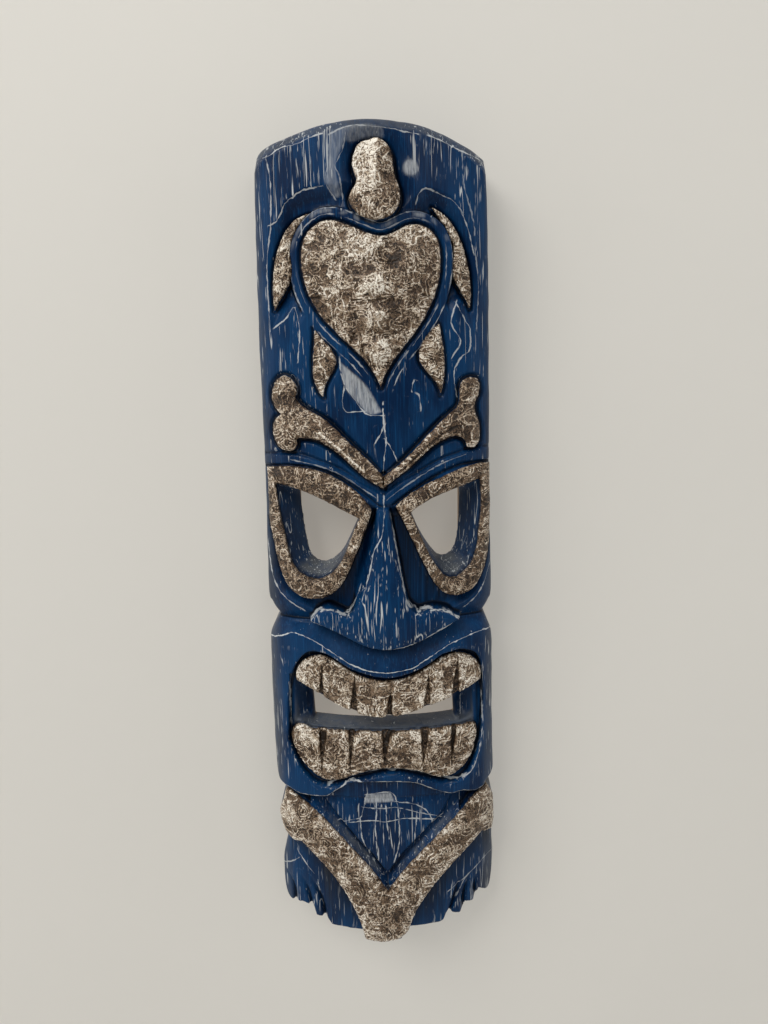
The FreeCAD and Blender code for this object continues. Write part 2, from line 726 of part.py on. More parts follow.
os.makedirs("parts", exist_ok=True)
for piece in PIECES:
    solids = piece.Shape.Solids
    box = piece.Shape.BoundBox
    piece.Shape.exportStep(f"parts/{piece.Label}.step")
    print(
        f"{piece.Label}: {len(solids)} solid(s), {piece.Shape.Volume / 1000:.1f} cm3, "
        f"{box.XLength:.1f} x {box.YLength:.1f} x {box.ZLength:.1f} mm, "
        f"z {box.ZMin:.1f} to {box.ZMax:.1f}, y {box.YMin:.1f} to {box.YMax:.1f}"
    )
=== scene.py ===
import math

import bpy
import numpy as np
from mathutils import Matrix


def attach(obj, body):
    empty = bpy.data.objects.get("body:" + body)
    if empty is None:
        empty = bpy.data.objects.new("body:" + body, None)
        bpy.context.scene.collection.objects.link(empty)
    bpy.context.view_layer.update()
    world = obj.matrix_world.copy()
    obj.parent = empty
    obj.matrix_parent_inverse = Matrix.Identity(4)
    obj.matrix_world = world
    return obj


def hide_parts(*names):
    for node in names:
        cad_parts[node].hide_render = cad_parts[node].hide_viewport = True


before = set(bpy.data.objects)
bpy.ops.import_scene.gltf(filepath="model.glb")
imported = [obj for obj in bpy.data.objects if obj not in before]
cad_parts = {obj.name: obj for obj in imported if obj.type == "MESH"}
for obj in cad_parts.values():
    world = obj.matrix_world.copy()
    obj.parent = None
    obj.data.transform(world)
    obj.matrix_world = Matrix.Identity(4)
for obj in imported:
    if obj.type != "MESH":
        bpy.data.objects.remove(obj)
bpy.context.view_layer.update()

import openvdb
from mathutils import Vector

# Looks of the carved tiki wall mask.  The wood is sculpted as a relief map over the (x, z) plane in
# millimetres, with z measured from the foot of the wood and depth measured from the wall forwards.
# The map then becomes one closed surface, and each textured skin is laid over it inside the outline
# of its CAD node.

MM = 0.001
HANG_HEIGHT = 508.0  # millimetres from the foot of the wood up to the hanging point, the origin
RANDOM_SEED = 7

# --- the map's grid
STEP = 0.5
GRID_X = np.arange(-76.0, 76.0 + STEP / 2, STEP)
GRID_Z = np.arange(-8.0, 510.0 + STEP / 2, STEP)
X, Z = np.meshgrid(GRID_X, GRID_Z, indexing="ij")


def sample(field, x, z):
    """Reads a map at any points, bilinearly."""
    column = np.clip((x - GRID_X[0]) / STEP, 0, len(GRID_X) - 1.001)
    row = np.clip((z - GRID_Z[0]) / STEP, 0, len(GRID_Z) - 1.001)
    i, j = column.astype(int), row.astype(int)
    u, v = column - i, row - j
    near = field[i, j] * (1 - v) + field[i, j + 1] * v
    far = field[i + 1, j] * (1 - v) + field[i + 1, j + 1] * v
    return near * (1 - u) + far * u


def window(points, margin):
    """The part of the grid that holds the points and a margin round them."""
    low, high = points.min(0) - margin, points.max(0) + margin
    i = np.clip(((low[0] - GRID_X[0]) / STEP, (high[0] - GRID_X[0]) / STEP + 2), 0, len(GRID_X))
    j = np.clip(((low[1] - GRID_Z[0]) / STEP, (high[1] - GRID_Z[0]) / STEP + 2), 0, len(GRID_Z))
    return slice(int(i[0]), int(i[1])), slice(int(j[0]), int(j[1]))


# --- curves and distances
REACH = 14.0  # distances are only worked out this near to a curve


def smooth_run(points, spacing=1.5):
    """A Catmull-Rom curve through the points, as a dense polyline."""
    p = np.array(points, float)
    if len(p) == 2:
        return p
    padded = np.vstack([2 * p[0] - p[1], p, 2 * p[-1] - p[-2]])
    out = []
    for a, b, c, d in zip(padded, padded[1:], padded[2:], padded[3:]):
        count = max(2, int(np.linalg.norm(c - b) / spacing))
        t = np.linspace(0, 1, count, endpoint=False)[:, None]
        square, cube = t * t, t * t * t
        bend = (2 * a - 5 * b + 4 * c - d) * square + (3 * b - a - 3 * c + d) * cube
        out.append(0.5 * (2 * b + (c - a) * t + bend))
    return np.vstack(out + [p[-1:]])


def outline(stretches):
    """A closed polyline; every stretch starts at a corner and runs smoothly to the next one."""
    runs = []
    for index, stretch in enumerate(stretches):
        following = stretches[(index + 1) % len(stretches)]
        runs.append(smooth_run(stretch + following[:1])[:-1])
    return np.vstack(runs)


def polyline_distance(points, x, z):
    """Distance from any points to a polyline."""
    best = np.full(x.shape, 1e9)
    for (ax, az), (bx, bz) in zip(points, points[1:]):
        dx, dz = bx - ax, bz - az
        length2 = max(dx * dx + dz * dz, 1e-9)
        t = np.clip(((x - ax) * dx + (z - az) * dz) / length2, 0, 1)
        np.minimum(best, (x - ax - t * dx) ** 2 + (z - az - t * dz) ** 2, out=best)
    return np.sqrt(best)


def distance(points, reach=REACH):
    """Distance from the map's points to an open curve, up to a reach."""
    run = smooth_run(points)
    part = window(run, reach)
    out = np.full(X.shape, reach)
    out[part] = np.minimum(polyline_distance(run, X[part], Z[part]), reach)
    return out


def across_run(run, x, z):
    """Distance to a polyline, and the signed distance across its nearest piece."""
    nearest, across = np.full(x.shape, 1e9), np.zeros(x.shape)
    for (ax, az), (bx, bz) in zip(run, run[1:]):
        dx, dz = bx - ax, bz - az
        length = max(math.hypot(dx, dz), 1e-6)
        t = np.clip(((x - ax) * dx + (z - az) * dz) / length**2, 0, 1)
        away = (x - ax - t * dx) ** 2 + (z - az - t * dz) ** 2
        across = np.where(away < nearest, ((x - ax) * dz - (z - az) * dx) / length, across)
        nearest = np.minimum(away, nearest)
    return np.sqrt(nearest), across


def signed(loop, reach=REACH):
    """Signed distance to a closed polyline, negative inside, up to a reach outside."""
    part = window(loop, reach)
    x, z = X[part], Z[part]
    inside = np.zeros(x.shape, bool)
    for (ax, az), (bx, bz) in zip(loop, np.roll(loop, -1, axis=0)):
        if az != bz:
            crosses = (az > z) != (bz > z)
            inside ^= crosses & (x < (bx - ax) * (z - az) / (bz - az) + ax)
    away = polyline_distance(np.vstack([loop, loop[:1]]), x, z)
    out = np.full(X.shape, reach)
    out[part] = np.where(inside, -away, np.minimum(away, reach))
    return out


def ramp(value, low, high):
    """Smooth step from 0 at low to 1 at high."""
    t = np.clip((value - low) / (high - low), 0, 1)
    return t * t * (3 - 2 * t)


def smooth_min(a, b, radius):
    """The smaller of two fields, with the corner between them rounded."""
    blend = np.clip(0.5 + 0.5 * (b - a) / radius, 0, 1)
    return b * (1 - blend) + a * blend - radius * blend * (1 - blend)


def smooth_max(a, b, radius):
    return -smooth_min(-a, -b, radius)


def blur(field, radius):
    """A separable Gaussian blur; radius in millimetres."""
    reach = int(math.ceil(3 * radius / STEP))
    weights = np.exp(-0.5 * (np.arange(-reach, reach + 1) * STEP / radius) ** 2)
    weights /= weights.sum()
    for axis in (0, 1):
        pad = [(0, 0), (0, 0)]
        pad[axis] = (reach, reach)
        wide = np.pad(field, pad, mode="edge")
        total = np.zeros_like(field)
        for k, weight in enumerate(weights):
            part = [slice(None), slice(None)]
            part[axis] = slice(k, k + field.shape[axis])
            total += weight * wide[tuple(part)]
        field = total
    return field


def value_noise(x, z, cell_x, cell_z, seed):
    """Smooth noise from -1 to 1 with cells of the given size."""
    table = np.random.default_rng(RANDOM_SEED * 1000 + seed).uniform(-1, 1, (256, 256))
    u, v = x / cell_x + 1000.0, z / cell_z + 1000.0
    i, j = np.floor(u).astype(int), np.floor(v).astype(int)
    fu, fv = u - i, v - j
    fu, fv = fu * fu * (3 - 2 * fu), fv * fv * (3 - 2 * fv)
    near = table[i % 256, j % 256] * (1 - fv) + table[i % 256, (j + 1) % 256] * fv
    far = table[(i + 1) % 256, j % 256] * (1 - fv) + table[(i + 1) % 256, (j + 1) % 256] * fv
    return near * (1 - fu) + far * fu


# --- outlines
def node_loops(node):
    """The outlines of a CAD node's front face, in (x, z) millimetres, longest first."""
    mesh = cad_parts[node].data
    keys, ids, place = {}, [], {}
    for vertex in mesh.vertices:
        key = tuple(round(c * 20000) for c in vertex.co)
        ids.append(keys.setdefault(key, len(keys)))
        place[ids[-1]] = (vertex.co.x / MM, vertex.co.z / MM + HANG_HEIGHT)
    links = {}
    for face in mesh.polygons:
        corners = [ids[i] for i in face.vertices]
        kind = "front" if face.normal.y < -0.55 else "other"
        for a, b in zip(corners, corners[1:] + corners[:1]):
            if a != b:
                links.setdefault(frozenset((a, b)), []).append(kind)
    rim = {}
    for edge, kinds in links.items():
        if sorted(kinds) == ["front", "other"]:
            a, b = edge
            rim.setdefault(a, []).append(b)
            rim.setdefault(b, []).append(a)
    loops = []
    while rim:
        start = min(rim)
        loop = [start]
        while rim.get(loop[-1]):
            following = rim[loop[-1]].pop()
            rim[following].remove(loop[-1])
            if following == start:
                break
            loop.append(following)
        rim = {key: ends for key, ends in rim.items() if ends}
        if len(loop) > 8:
            loops.append(np.array([place[key] for key in loop]))
    return sorted(loops, key=lambda loop: -np.ptp(loop, axis=0).prod())


WOOD = [
    [(-66, 486), (-62, 489.5), (-49.5, 493), (-27, 498), (0, 500), (27, 496.5), (51.5, 488)],
    [(63, 482), (65, 445), (66.5, 348), (67, 290), (68.5, 234), (67, 225)],
    [(63.5, 218), (66.5, 211), (69, 200), (69.5, 160), (70.5, 120), (70, 109)],
    [(64.5, 105), (69, 98), (71, 85), (71.5, 60), (72, 42), (71, 26), (68, 18.5)],
    [(61.5, 22.5), (58, 15.5)],
    [(52.5, 16), (49, 9)],
    [(39.5, 11), (35, 5)],
    [(15, 4.5), (8, 2), (-8, 0), (-15, 2)],
    [(-37, 4), (-41, 8.5)],
    [(-47.5, 9), (-50, 15)],
    [(-56.5, 17), (-61, 15.5), (-66.5, 16.5), (-69.5, 26), (-69, 46)],
    [(-65.5, 62), (-69, 70), (-69.5, 82), (-64.5, 100)],
    [(-64, 104), (-69.5, 111), (-70.5, 145), (-70, 198), (-68.5, 209)],
    [(-63.5, 218), (-68, 226), (-70, 237), (-68.5, 314), (-68.5, 391), (-67, 464)],
]
NOSE = [
    [(-1, 287.5), (-5.5, 264), (-13, 236), (-17, 226)],
    [(-20, 223.5), (-26, 226.5), (-32, 228), (-38, 225)],
    [(-43.5, 219.5), (-28, 213.5), (-6.5, 203.5), (11.5, 203), (30, 209.5)],
    [(48, 219), (40.5, 224), (31, 226.5), (22, 225)],
    [(16.5, 230.5), (14, 242), (11.3, 258), (7.8, 277)],
    [(5.8, 287.5)],
]
# The valley between cheeks, eye surrounds and nose: everything inside this line is scooped out.
VALLEY = [
    [(-70, 282), (-68.5, 262), (-66.5, 245), (-62.5, 235.5), (-56, 229), (-48, 223.5)],
    [(-43, 219), (-20, 212), (3, 208), (24, 212)],
    [(49, 221), (57, 228.5), (63, 238), (67, 250), (69, 265), (70, 282)],
    [(44, 296), (7, 290)],
    [(-1, 290), (-40, 296)],
]
MOUTH_WINDOW = [
    [(-60, 138), (-57, 178), (-47, 197), (-34, 198), (-18, 188.5), (3, 183), (22, 187.5)],
    [(37, 196.5), (50, 198), (60, 190)],
    [(63, 165), (60.5, 136), (52, 115.5), (38, 111), (4, 120), (-34, 110.5), (-50, 117.5)],
]
MOUTH_GAP = [
    [(-44, 149)],
    [(-45, 171), (-27, 164), (-12, 158), (4, 157), (20, 160), (33, 163)],
    [(44, 168)],
    [(45, 149)],
]
# The gap widens towards the front, where its two ends are cut back to the lips.
MOUTH_FLARE = [
    [(-57.5, 148.5)],
    [(-57.5, 184), (-44, 173), (-27, 164), (-12, 158), (4, 157), (20, 160), (33, 163), (46, 170)],
    [(60, 180)],
    [(60, 148.5)],
]
POCKET_LEFT = [
    [(-58, 447), (-53.5, 449.5), (-48.5, 458), (-39, 464), (-29, 465.5), (-19, 464.5)],
    [(-14, 452), (-26, 440), (-34, 425), (-36, 405)],
    [(-43, 393)],
    [(-46, 402), (-50.5, 397)],
    [(-59.5, 389)],
    [(-61, 418.5)],
]
POCKET_RIGHT = [
    [(14, 450)],
    [(25.5, 460), (29, 463.5), (40, 460.5), (46, 456), (52, 445), (56.5, 430), (59, 413)],
    [(56, 388), (47.5, 401.5)],
    [(43, 393.5)],
    [(34, 405), (34, 425), (26, 440)],
]
HAND_LEFT = [
    [(-80, 72)],
    [(-60.5, 72), (-51.5, 71), (-39, 58), (-23.5, 37.5), (-11.5, 6)],
    [(-11.5, -15)],
    [(-80, -15)],
]
HAND_RIGHT = [
    [(10, -15)],
    [(10, 10), (19, 28), (32, 45), (47, 62), (60, 73)],
    [(80, 73)],
    [(80, -15)],
]
CHIN_TRIANGLE = [
    [(-31, 88), (-22, 76.5), (-16, 69), (-9.5, 62.5), (-3.5, 54)],
    [(1, 48), (6.5, 56), (13, 64), (26, 77)],
    [(37, 88), (42, 101), (30, 110), (-2, 117), (-28, 111), (-40, 103)],
]
EYE_LEFT_BACK = [
    [(-49, 300), (-38, 295), (-22, 289)],
    [(-11.5, 281), (-18.5, 267), (-24.5, 258), (-33, 253), (-40.5, 256), (-44, 268), (-47, 285)],
]
EYE_RIGHT_BACK = [
    [(49, 300), (38, 296), (25, 290)],
    [(18, 284), (23, 272), (30, 261), (37, 254.5), (44, 259), (48, 272), (49.5, 286)],
]

WOOD_EDGE = signed(outline(WOOD), reach=80.0)
NOSE_EDGE = signed(outline(NOSE))
VALLEY_EDGE = signed(outline(VALLEY), reach=30.0)
POCKET_EDGES = [signed(outline(pocket)) for pocket in (POCKET_LEFT, POCKET_RIGHT)]
SKIN_NODES = [
    "turtle_head", "turtle_shell", "front_flipper_left", "front_flipper_right",
    "rear_flipper_left", "rear_flipper_right", "brow_bone_left", "brow_bone_right",
    "eye_surround_left", "eye_surround_right", "upper_teeth", "lower_teeth", "chin_chevron",
]
EDGE = {}
for node in SKIN_NODES:
    loops = node_loops(node)
    EDGE[node] = signed(loops[0])
    if node.startswith("eye_surround"):
        EDGE[node + "_opening"] = signed(loops[1], reach=60.0)
        EDGE[node] = np.maximum(EDGE[node], -EDGE[node + "_opening"])

# A disc that fills the notch in the crown of the turtle's head.
NOTCH_X, NOTCH_Z, NOTCH_RADIUS = 1.2, 484.6, 3.6
notch_edge = np.hypot(X - NOTCH_X, Z - NOTCH_Z) - NOTCH_RADIUS
EDGE["turtle_head"] = smooth_min(EDGE["turtle_head"], notch_edge, 1.0)

# --- relief of the wood
FRONT_DEPTH, BOW_RADIUS = 46.0, 165.0
SHOULDER_DEPTH, SHOULDER_RADIUS = 56.0, 95.0
HALF = np.abs(X)
BASE = smooth_min(
    FRONT_DEPTH - (BOW_RADIUS - np.sqrt(BOW_RADIUS**2 - HALF**2)),
    SHOULDER_DEPTH - (SHOULDER_RADIUS - np.sqrt(SHOULDER_RADIUS**2 - HALF**2)),
    4.0,
)


def set_level(relief, weight, level):
    """Brings the relief to a level over the bowed front where the weight is 1."""
    return relief + weight * (BASE + level - relief)


def inside(edge, softness=0.8):
    """1 inside an outline and 0 outside, with a soft step across its edge."""
    return 1 - ramp(edge, -softness, softness)


def groove(relief, away, width, depth):
    """A V groove along a curve, with its own small round at the bottom."""
    return relief - depth * np.clip(1 - away / (width / 2), 0, 1) ** 0.8


def crest_height(crest):
    """Height of a curve that runs from left to right, over the whole map."""
    run = smooth_run(crest)
    return np.interp(X, run[:, 0], run[:, 1])


BELOW_TOP = crest_height(WOOD[0] + WOOD[1][:1]) - Z


def top_bevel(relief):
    """The chamfer along the domed top, deeper towards the two corners."""
    height = 5.0 + 3.5 * ramp(HALF, 25, 62) + 0.7 * value_noise(X, Z, 13.0, 400.0, 3)
    return relief - 0.75 * np.clip(height - BELOW_TOP, 0, None)


def flipper_pockets(relief):
    """Smooth scoops that fall from a worn edge towards each front flipper."""
    for edge in POCKET_EDGES:
        relief = relief - (4.6 * ramp(-edge, -0.6, 8.0) + 0.6 * inside(edge))
    return relief


def turtle(relief):
    """The sunk ground round the head, the rib round the shell and the grooves beside the skins."""
    head = EDGE["turtle_head"]
    relief = relief - 3.4 * (1 - ramp(head, 1.0, 9.5)) * ramp(Z, 446, 462)
    shell = EDGE["turtle_shell"]
    rib = 1.0 + 2.4 * np.sqrt(np.clip(1 - ((shell - 5.0) / 2.7) ** 2, 0, 1))
    around = inside(shell - 7.4, 0.5)
    relief = relief * (1 - around) + (BASE + rib) * around
    relief = relief - 3.2 * np.clip(1 - np.abs(shell - 1.0) / 1.9, 0, 1)
    for node in "rear_flipper_left", "rear_flipper_right":
        relief = groove(relief, np.abs(EDGE[node] - 0.9), 2.6, 2.2)
    for node in "front_flipper_left", "front_flipper_right":
        relief = groove(relief, np.abs(EDGE[node] - 0.8), 2.2, 1.8)
    return groove(relief, np.abs(head - 1.0), 2.8, 2.2)


def forehead_keel(relief):
    """Two planes meet in a soft ridge under the shell, beside a flat knife cut on the left."""
    zone = ramp(Z, 296, 312) * (1 - ramp(Z, 335, 352)) * (1 - ramp(np.abs(X - 3), 18, 40))
    relief = relief + zone * (1.6 - 0.16 * np.abs(X - 3))
    knife_cut = [[(-20, 372), (-19, 362), (-14, 351), (-4.5, 341)], [(2.5, 343), (-7, 359)]]
    return relief - 1.1 * inside(signed(outline(knife_cut)), 0.6) * ramp(X + Z, 320, 352)


# Grooves between the brow bones and the eyes: points, width and depth.
BROW_GROOVES = [
    ([(-67, 319), (-47.5, 319.5), (-33, 315), (-21.5, 310), (-10, 303), (3, 295)], 3.0, 2.0),
    ([(66.5, 321), (54.5, 320.5), (45.5, 318), (36.5, 315), (25, 309), (13, 303), (3.5, 296)],
     3.0, 2.0),
    ([(-67.5, 311.5), (-51.5, 312), (-39, 311), (-27.5, 307.5), (-19, 303.5), (-7.5, 295),
      (1, 287.5)], 3.2, 2.6),
    ([(66.5, 312), (51.5, 311.5), (42.5, 309), (30.5, 303.5), (19, 296.5), (8, 288.5)], 3.2, 2.6),
]


def brow(relief):
    """The grooves over the eyes and round the brow bones."""
    for run, width, depth in BROW_GROOVES:
        relief = groove(relief, distance(run), width, depth)
    for node in "brow_bone_left", "brow_bone_right":
        relief = groove(relief, np.abs(EDGE[node] - 1.2), 3.4, 2.4)
    return relief


def cheeks_and_nose(relief):
    """The scooped valley, the level ground of the eye surrounds and the nose that stands in it."""
    depth = 7.0 * ramp(-VALLEY_EDGE, -0.8, 9.0)
    relief = np.where(depth > 0, np.minimum(relief, BASE - depth), relief)
    for node in "eye_surround_left", "eye_surround_right":
        relief = set_level(relief, inside(EDGE[node], 0.5), 0.0)
        relief = set_level(relief, inside(EDGE[node + "_opening"], 0.5), 0.0)
    level = 2.5 + 6.5 * (1 - ramp(Z, 222, 285)) - 1.0 * (1 - ramp(Z, 200, 222))
    crown = 0.9 * ramp(-NOSE_EDGE, 0, 7) - 0.035 * np.abs(X - 4)
    soft = 0.7 + 3.8 * ramp(2 - X, 0, 5) * ramp(Z, 226, 240) * (1 - ramp(Z, 268, 284))
    return set_level(relief, inside(NOSE_EDGE, soft), level + crown)


WAIST_LEVEL, WAIST_DEPTH, CHEEK_FOOT = 216.5, 7.5, 15.0
BLOCK_CREST = [
    (-76, 203.5), (-68, 205), (-60, 208), (-53, 210.5), (-41.5, 206.5), (-33.5, 202), (-27.5, 198),
    (-21.5, 194), (-15.5, 191), (-8, 188.5), (2, 187), (11.5, 188), (18.5, 189.5), (24.5, 193),
    (35.5, 199.5), (42, 203), (52, 206.5), (62, 208.5), (76, 207),
]
LIP_CREST = [
    (-76, 108), (-62, 106), (-53.5, 103.5), (-43, 103.5), (-36, 104.5), (-31.5, 108), (-26, 111.5),
    (-19.5, 114.5), (-2, 115.5), (18, 114), (29, 109), (41, 104), (49, 104.5), (57.5, 102.5),
    (64, 104), (76, 108),
]


def mouth(relief):
    """The mouth block, between a sloping top and an undercut lip, with the window of the teeth."""
    crest, lip = crest_height(BLOCK_CREST), crest_height(LIP_CREST)
    above = np.clip((Z - crest) / np.maximum(WAIST_LEVEL + 1 - crest, 6), 0, 1)
    slope = 4.0 - (4.0 + WAIST_DEPTH) * above
    front = 3.2 + 0.8 * ramp(Z, 160, 200)
    below = np.clip((lip - Z) / 3.0, 0, 1)
    level = np.where(Z > crest, slope, front) - 6.5 * below
    side = np.clip((HALF - 62.0) / 8.0, 0, 1)
    level = level - 2.2 * side**1.5
    zone = (1 - ramp(Z, WAIST_LEVEL - 1, WAIST_LEVEL + 1)) * ramp(Z, 99.5, 101.5)
    nose = inside(NOSE_EDGE, 0.7)
    relief = relief + zone * (1 - nose) * (BASE + level - relief)
    window_edge = signed(outline(MOUTH_WINDOW))
    return set_level(relief, inside(window_edge, 0.6), -3.0)


def waist(relief):
    """The cheeks slope in to the crease over the mouth block, on both sides of the nose."""
    above = np.clip((Z - WAIST_LEVEL) / CHEEK_FOOT, 0, 1)
    slope = BASE - WAIST_DEPTH * (1 - above) ** 1.4
    nose = inside(NOSE_EDGE, 0.7)
    lowered = np.minimum(relief, slope)
    return np.where(Z > WAIST_LEVEL, relief + (1 - nose) * (lowered - relief), relief)


CHIN_LEVEL, HAND_LEVEL = -6.5, -8.0  # over the bowed front


def chin(relief):
    """The ground under the lip, the slope up to the collar, the triangle and the two hands."""
    zone = (1 - ramp(Z, 99.5, 101.5)) * ramp(Z, 30, 38)
    relief = set_level(relief, zone, CHIN_LEVEL)
    slope = BASE - 0.6 - 1.5 * np.clip(EDGE["chin_chevron"], 0, 8)
    raised = np.maximum(relief, relief + zone * (slope - relief))
    relief = np.where((HALF < 48) & (Z > 34), raised, relief)
    triangle = signed(outline(CHIN_TRIANGLE))
    ridge = 1.4 - 0.05 * np.abs(X - 1)
    facet = -0.22 * np.clip(Z - 95, 0, None)
    relief = relief + zone * inside(triangle, 0.8) * (BASE - 3.4 + ridge + facet - relief)
    for hand in HAND_LEFT, HAND_RIGHT:
        relief = set_level(relief, inside(signed(outline(hand), reach=40.0), 0.6), HAND_LEVEL)
    return relief


FINGER_GROOVES = [
    [(-61.5, 13), (-62.5, 26), (-67, 36)],
    [(-49.5, 10), (-53, 28), (-60.5, 44)],
    [(-41, 5), (-43.5, 22), (-52, 42)],
    [(60, 12), (58.5, 26), (62, 38)],
    [(50.5, 6), (51, 22), (56, 38)],
    [(38, 2), (43, 16), (48, 34)],
]


def fingers(relief):
    """Grooves between the fingers, which fade out towards the wrists."""
    fade = 1 - ramp(Z, 20, 40)
    for run in FINGER_GROOVES:
        relief = relief - 4.0 * fade * np.clip(1 - distance(run) / 1.9, 0, 1)
    return relief


def pad_under(relief, node, form):
    """Lifts the wood to sit just under a skin."""
    return relief + inside(EDGE[node] + 0.15, 0.35) * (form - SKIN_EMBED - relief)


# --- form of the skins
SKIN_EMBED = 1.7  # the wood lies this far under a skin's front


def rounded(edge, width, height):
    """A crown that rises from a skin's edge."""
    t = np.clip(-edge / width, 0, 1)
    return height * np.sqrt(1 - (1 - t) ** 2)


def shell_form():
    edge = EDGE["turtle_shell"]
    form = BASE + 1.6 + rounded(edge, 3.0, 1.2) + 4.6 * ramp(-edge, 0, 27)
    centres = [(-1.5, 434), (-0.5, 413), (0.5, 394), (2, 377.5)]
    for x, z in centres:
        away = np.hypot((X - x) / 1.25, Z - z)
        form = form + 2.1 * (1 - ramp(away, 2.0, 9.0))
    for z in (424, 403.5, 385.5, 368):
        form = form - 1.0 * (1 - ramp(np.abs(Z - z), 0, 1.8)) * (1 - ramp(HALF, 9, 16))
    notches = [(-40.5, 424), (-35, 406), (-26.5, 393.5), (-14, 381.5), (-8, 374), (32.5, 405.5),
               (25.5, 392.5), (19, 381), (13.5, 373)]
    for x, z in notches:
        towards = np.array([0.0, 412.0]) - np.array([x, z])
        end = np.array([x, z]) + towards / np.linalg.norm(towards) * 5.5
        away = distance([(x, z), tuple(end)])
        form = form - 1.8 * np.clip(1 - away / 1.4, 0, 1)
    return form


HEAD_RIDGE = 2.2 + (Z - 470) * 0.07  # x of the ridge along the turtle's head


def head_form():
    """Two roof planes that meet in a ridge, and a rounded lobe at the neck."""
    edge = EDGE["turtle_head"]
    roof = 5.4 - 0.55 * np.abs(X - HEAD_RIDGE) - 2.2 * ramp(Z, 476, 489)
    roof = roof - 6.0 * (1 - ramp(Z, 455, 466))
    lobe = 4.8 * np.sqrt(np.clip(1 - ((X - 1) / 17) ** 2 - ((Z - 456) / 15) ** 2, 0, 1)) - 0.4
    crease = distance([(1, 487), (3.3, 480), (2.7, 471), (1.5, 465)])
    form = BASE + 1.4 + rounded(edge, 2.4, 1.2) + smooth_max(roof, lobe, 1.0)
    return form - 0.4 * np.clip(1 - crease / 1.0, 0, 1) * (1 - ramp(Z, 480, 484))


def bone_form(node, spine, dip):
    """A rounded bone with a crease or a ridge along its spine."""
    edge = EDGE[node]
    away = distance(spine)
    form = BASE + 1.6 + rounded(edge, 3.2, 1.7) + 0.25 * np.clip(-edge, 0, 6)
    if dip:
        return form - 1.0 * np.clip(1 - away / 1.3, 0, 1)
    return form + 0.9 * np.clip(1 - away / 1.8, 0, 1)


def wedges(dividers, bite_above):
    """Cuts between teeth, wide at the biting edge: how open each is, and a mask of its floor."""
    opened, floor_mask = np.zeros_like(X), np.zeros_like(X)
    for x, z_low, z_high, width in dividers:
        rise = (Z - z_low) / (z_high - z_low)
        share = np.clip(rise if bite_above else 1 - rise, 0, 1.25)
        lean = X - x - 2.0 * (rise - 0.5)
        cut_through = np.clip((0.3 + width * share - np.abs(lean)) / 0.8, 0, 1) * (share > 0.02)
        cut_through = cut_through * (np.abs(rise - 0.5) < 0.8)
        opened = np.maximum(opened, cut_through * (0.35 + 0.65 * share))
        floor_mask = np.maximum(floor_mask, cut_through)
    return opened, floor_mask


def tooth_form(node, level, opened):
    """A row of teeth parted by wedges."""
    edge = EDGE[node]
    return BASE + level + rounded(edge, 3.0, 1.8) + 0.06 * np.clip(-edge, 0, 14) - 3.6 * opened


def flat_form(node, level, width, height, crown=0.1):
    """A skin at one level, with a rounded edge and a slight crown."""
    edge = EDGE[node]
    return BASE + level + rounded(edge, width, height) + crown * np.clip(-edge, 0, 9)


RIGHT_BONE_LINE = [(46, 334), (38, 330), (30, 324), (22, 316.8), (13, 308.8)]
BONE_SPINE = [(-33, 331.5), (-26, 325.8), (-20, 320.3), (-14, 314.8), (-8, 309.3)]
UPPER_WEDGES, UPPER_FLOOR = wedges(
    [
        (-37.5, 162, 192, 2.0), (-17.5, 155, 186, 3.0), (4.5, 153, 180, 2.4), (27.5, 155, 186, 3.0),
        (45.5, 163, 194, 3.0),
    ],
    bite_above=False,
)
LOWER_WEDGES, LOWER_FLOOR = wedges(
    [
        (-38.5, 116, 149, 2.6), (-20.5, 120, 149, 2.0), (1, 124, 149, 3.0), (25, 121, 149, 2.8),
        (43, 119, 149, 1.8),
    ],
    bite_above=True,
)
FORM = {
    "turtle_head": head_form(),
    "turtle_shell": shell_form(),
    "brow_bone_left": bone_form("brow_bone_left", BONE_SPINE, dip=False),
    "brow_bone_right": bone_form("brow_bone_right", RIGHT_BONE_LINE, dip=True),
    "upper_teeth": tooth_form("upper_teeth", 0.3, UPPER_WEDGES),
    "lower_teeth": tooth_form("lower_teeth", -0.6, LOWER_WEDGES),
    "chin_chevron": flat_form("chin_chevron", 0.9, 3.4, 1.8, 0.12),
}
for side in "left", "right":
    for kind, numbers in (
        ("front_flipper_", (-1.2, 3.0, 1.6)),
        ("rear_flipper_", (0.6, 3.0, 1.5)),
        ("eye_surround_", (1.2, 2.6, 1.3, 0.16)),
    ):
        FORM[kind + side] = flat_form(kind + side, *numbers)


def carve():
    """The whole relief of the wood; a later cut goes over the earlier ones."""
    relief = BASE + 0.35 * value_noise(X, Z, 21.0, 47.0, 1) + 0.15 * value_noise(X, Z, 7.0, 15.0, 2)
    for cut in (top_bevel, flipper_pockets, forehead_keel, turtle, brow, cheeks_and_nose, mouth,
                waist, chin, fingers):
        relief = cut(relief)
    for node in SKIN_NODES:
        relief = pad_under(relief, node, FORM[node])
    return relief


RELIEF = carve()

# --- wrinkles of the skins
SCRAP = 7.5  # millimetres across one crumpled scrap


def contour_web(x, z, cell, seed, levels, width):
    """Thin ridges along the contours of a smooth noise, all of one width."""
    step = 0.15
    here = levels * value_noise(x, z, cell, cell, seed)
    slope_x = (levels * value_noise(x + step, z, cell, cell, seed) - here) / step
    slope_z = (levels * value_noise(x, z + step, cell, cell, seed) - here) / step
    away = np.abs(here - np.round(here)) / np.maximum(np.hypot(slope_x, slope_z), 0.12)
    return np.clip(1 - away / width, 0, 1)


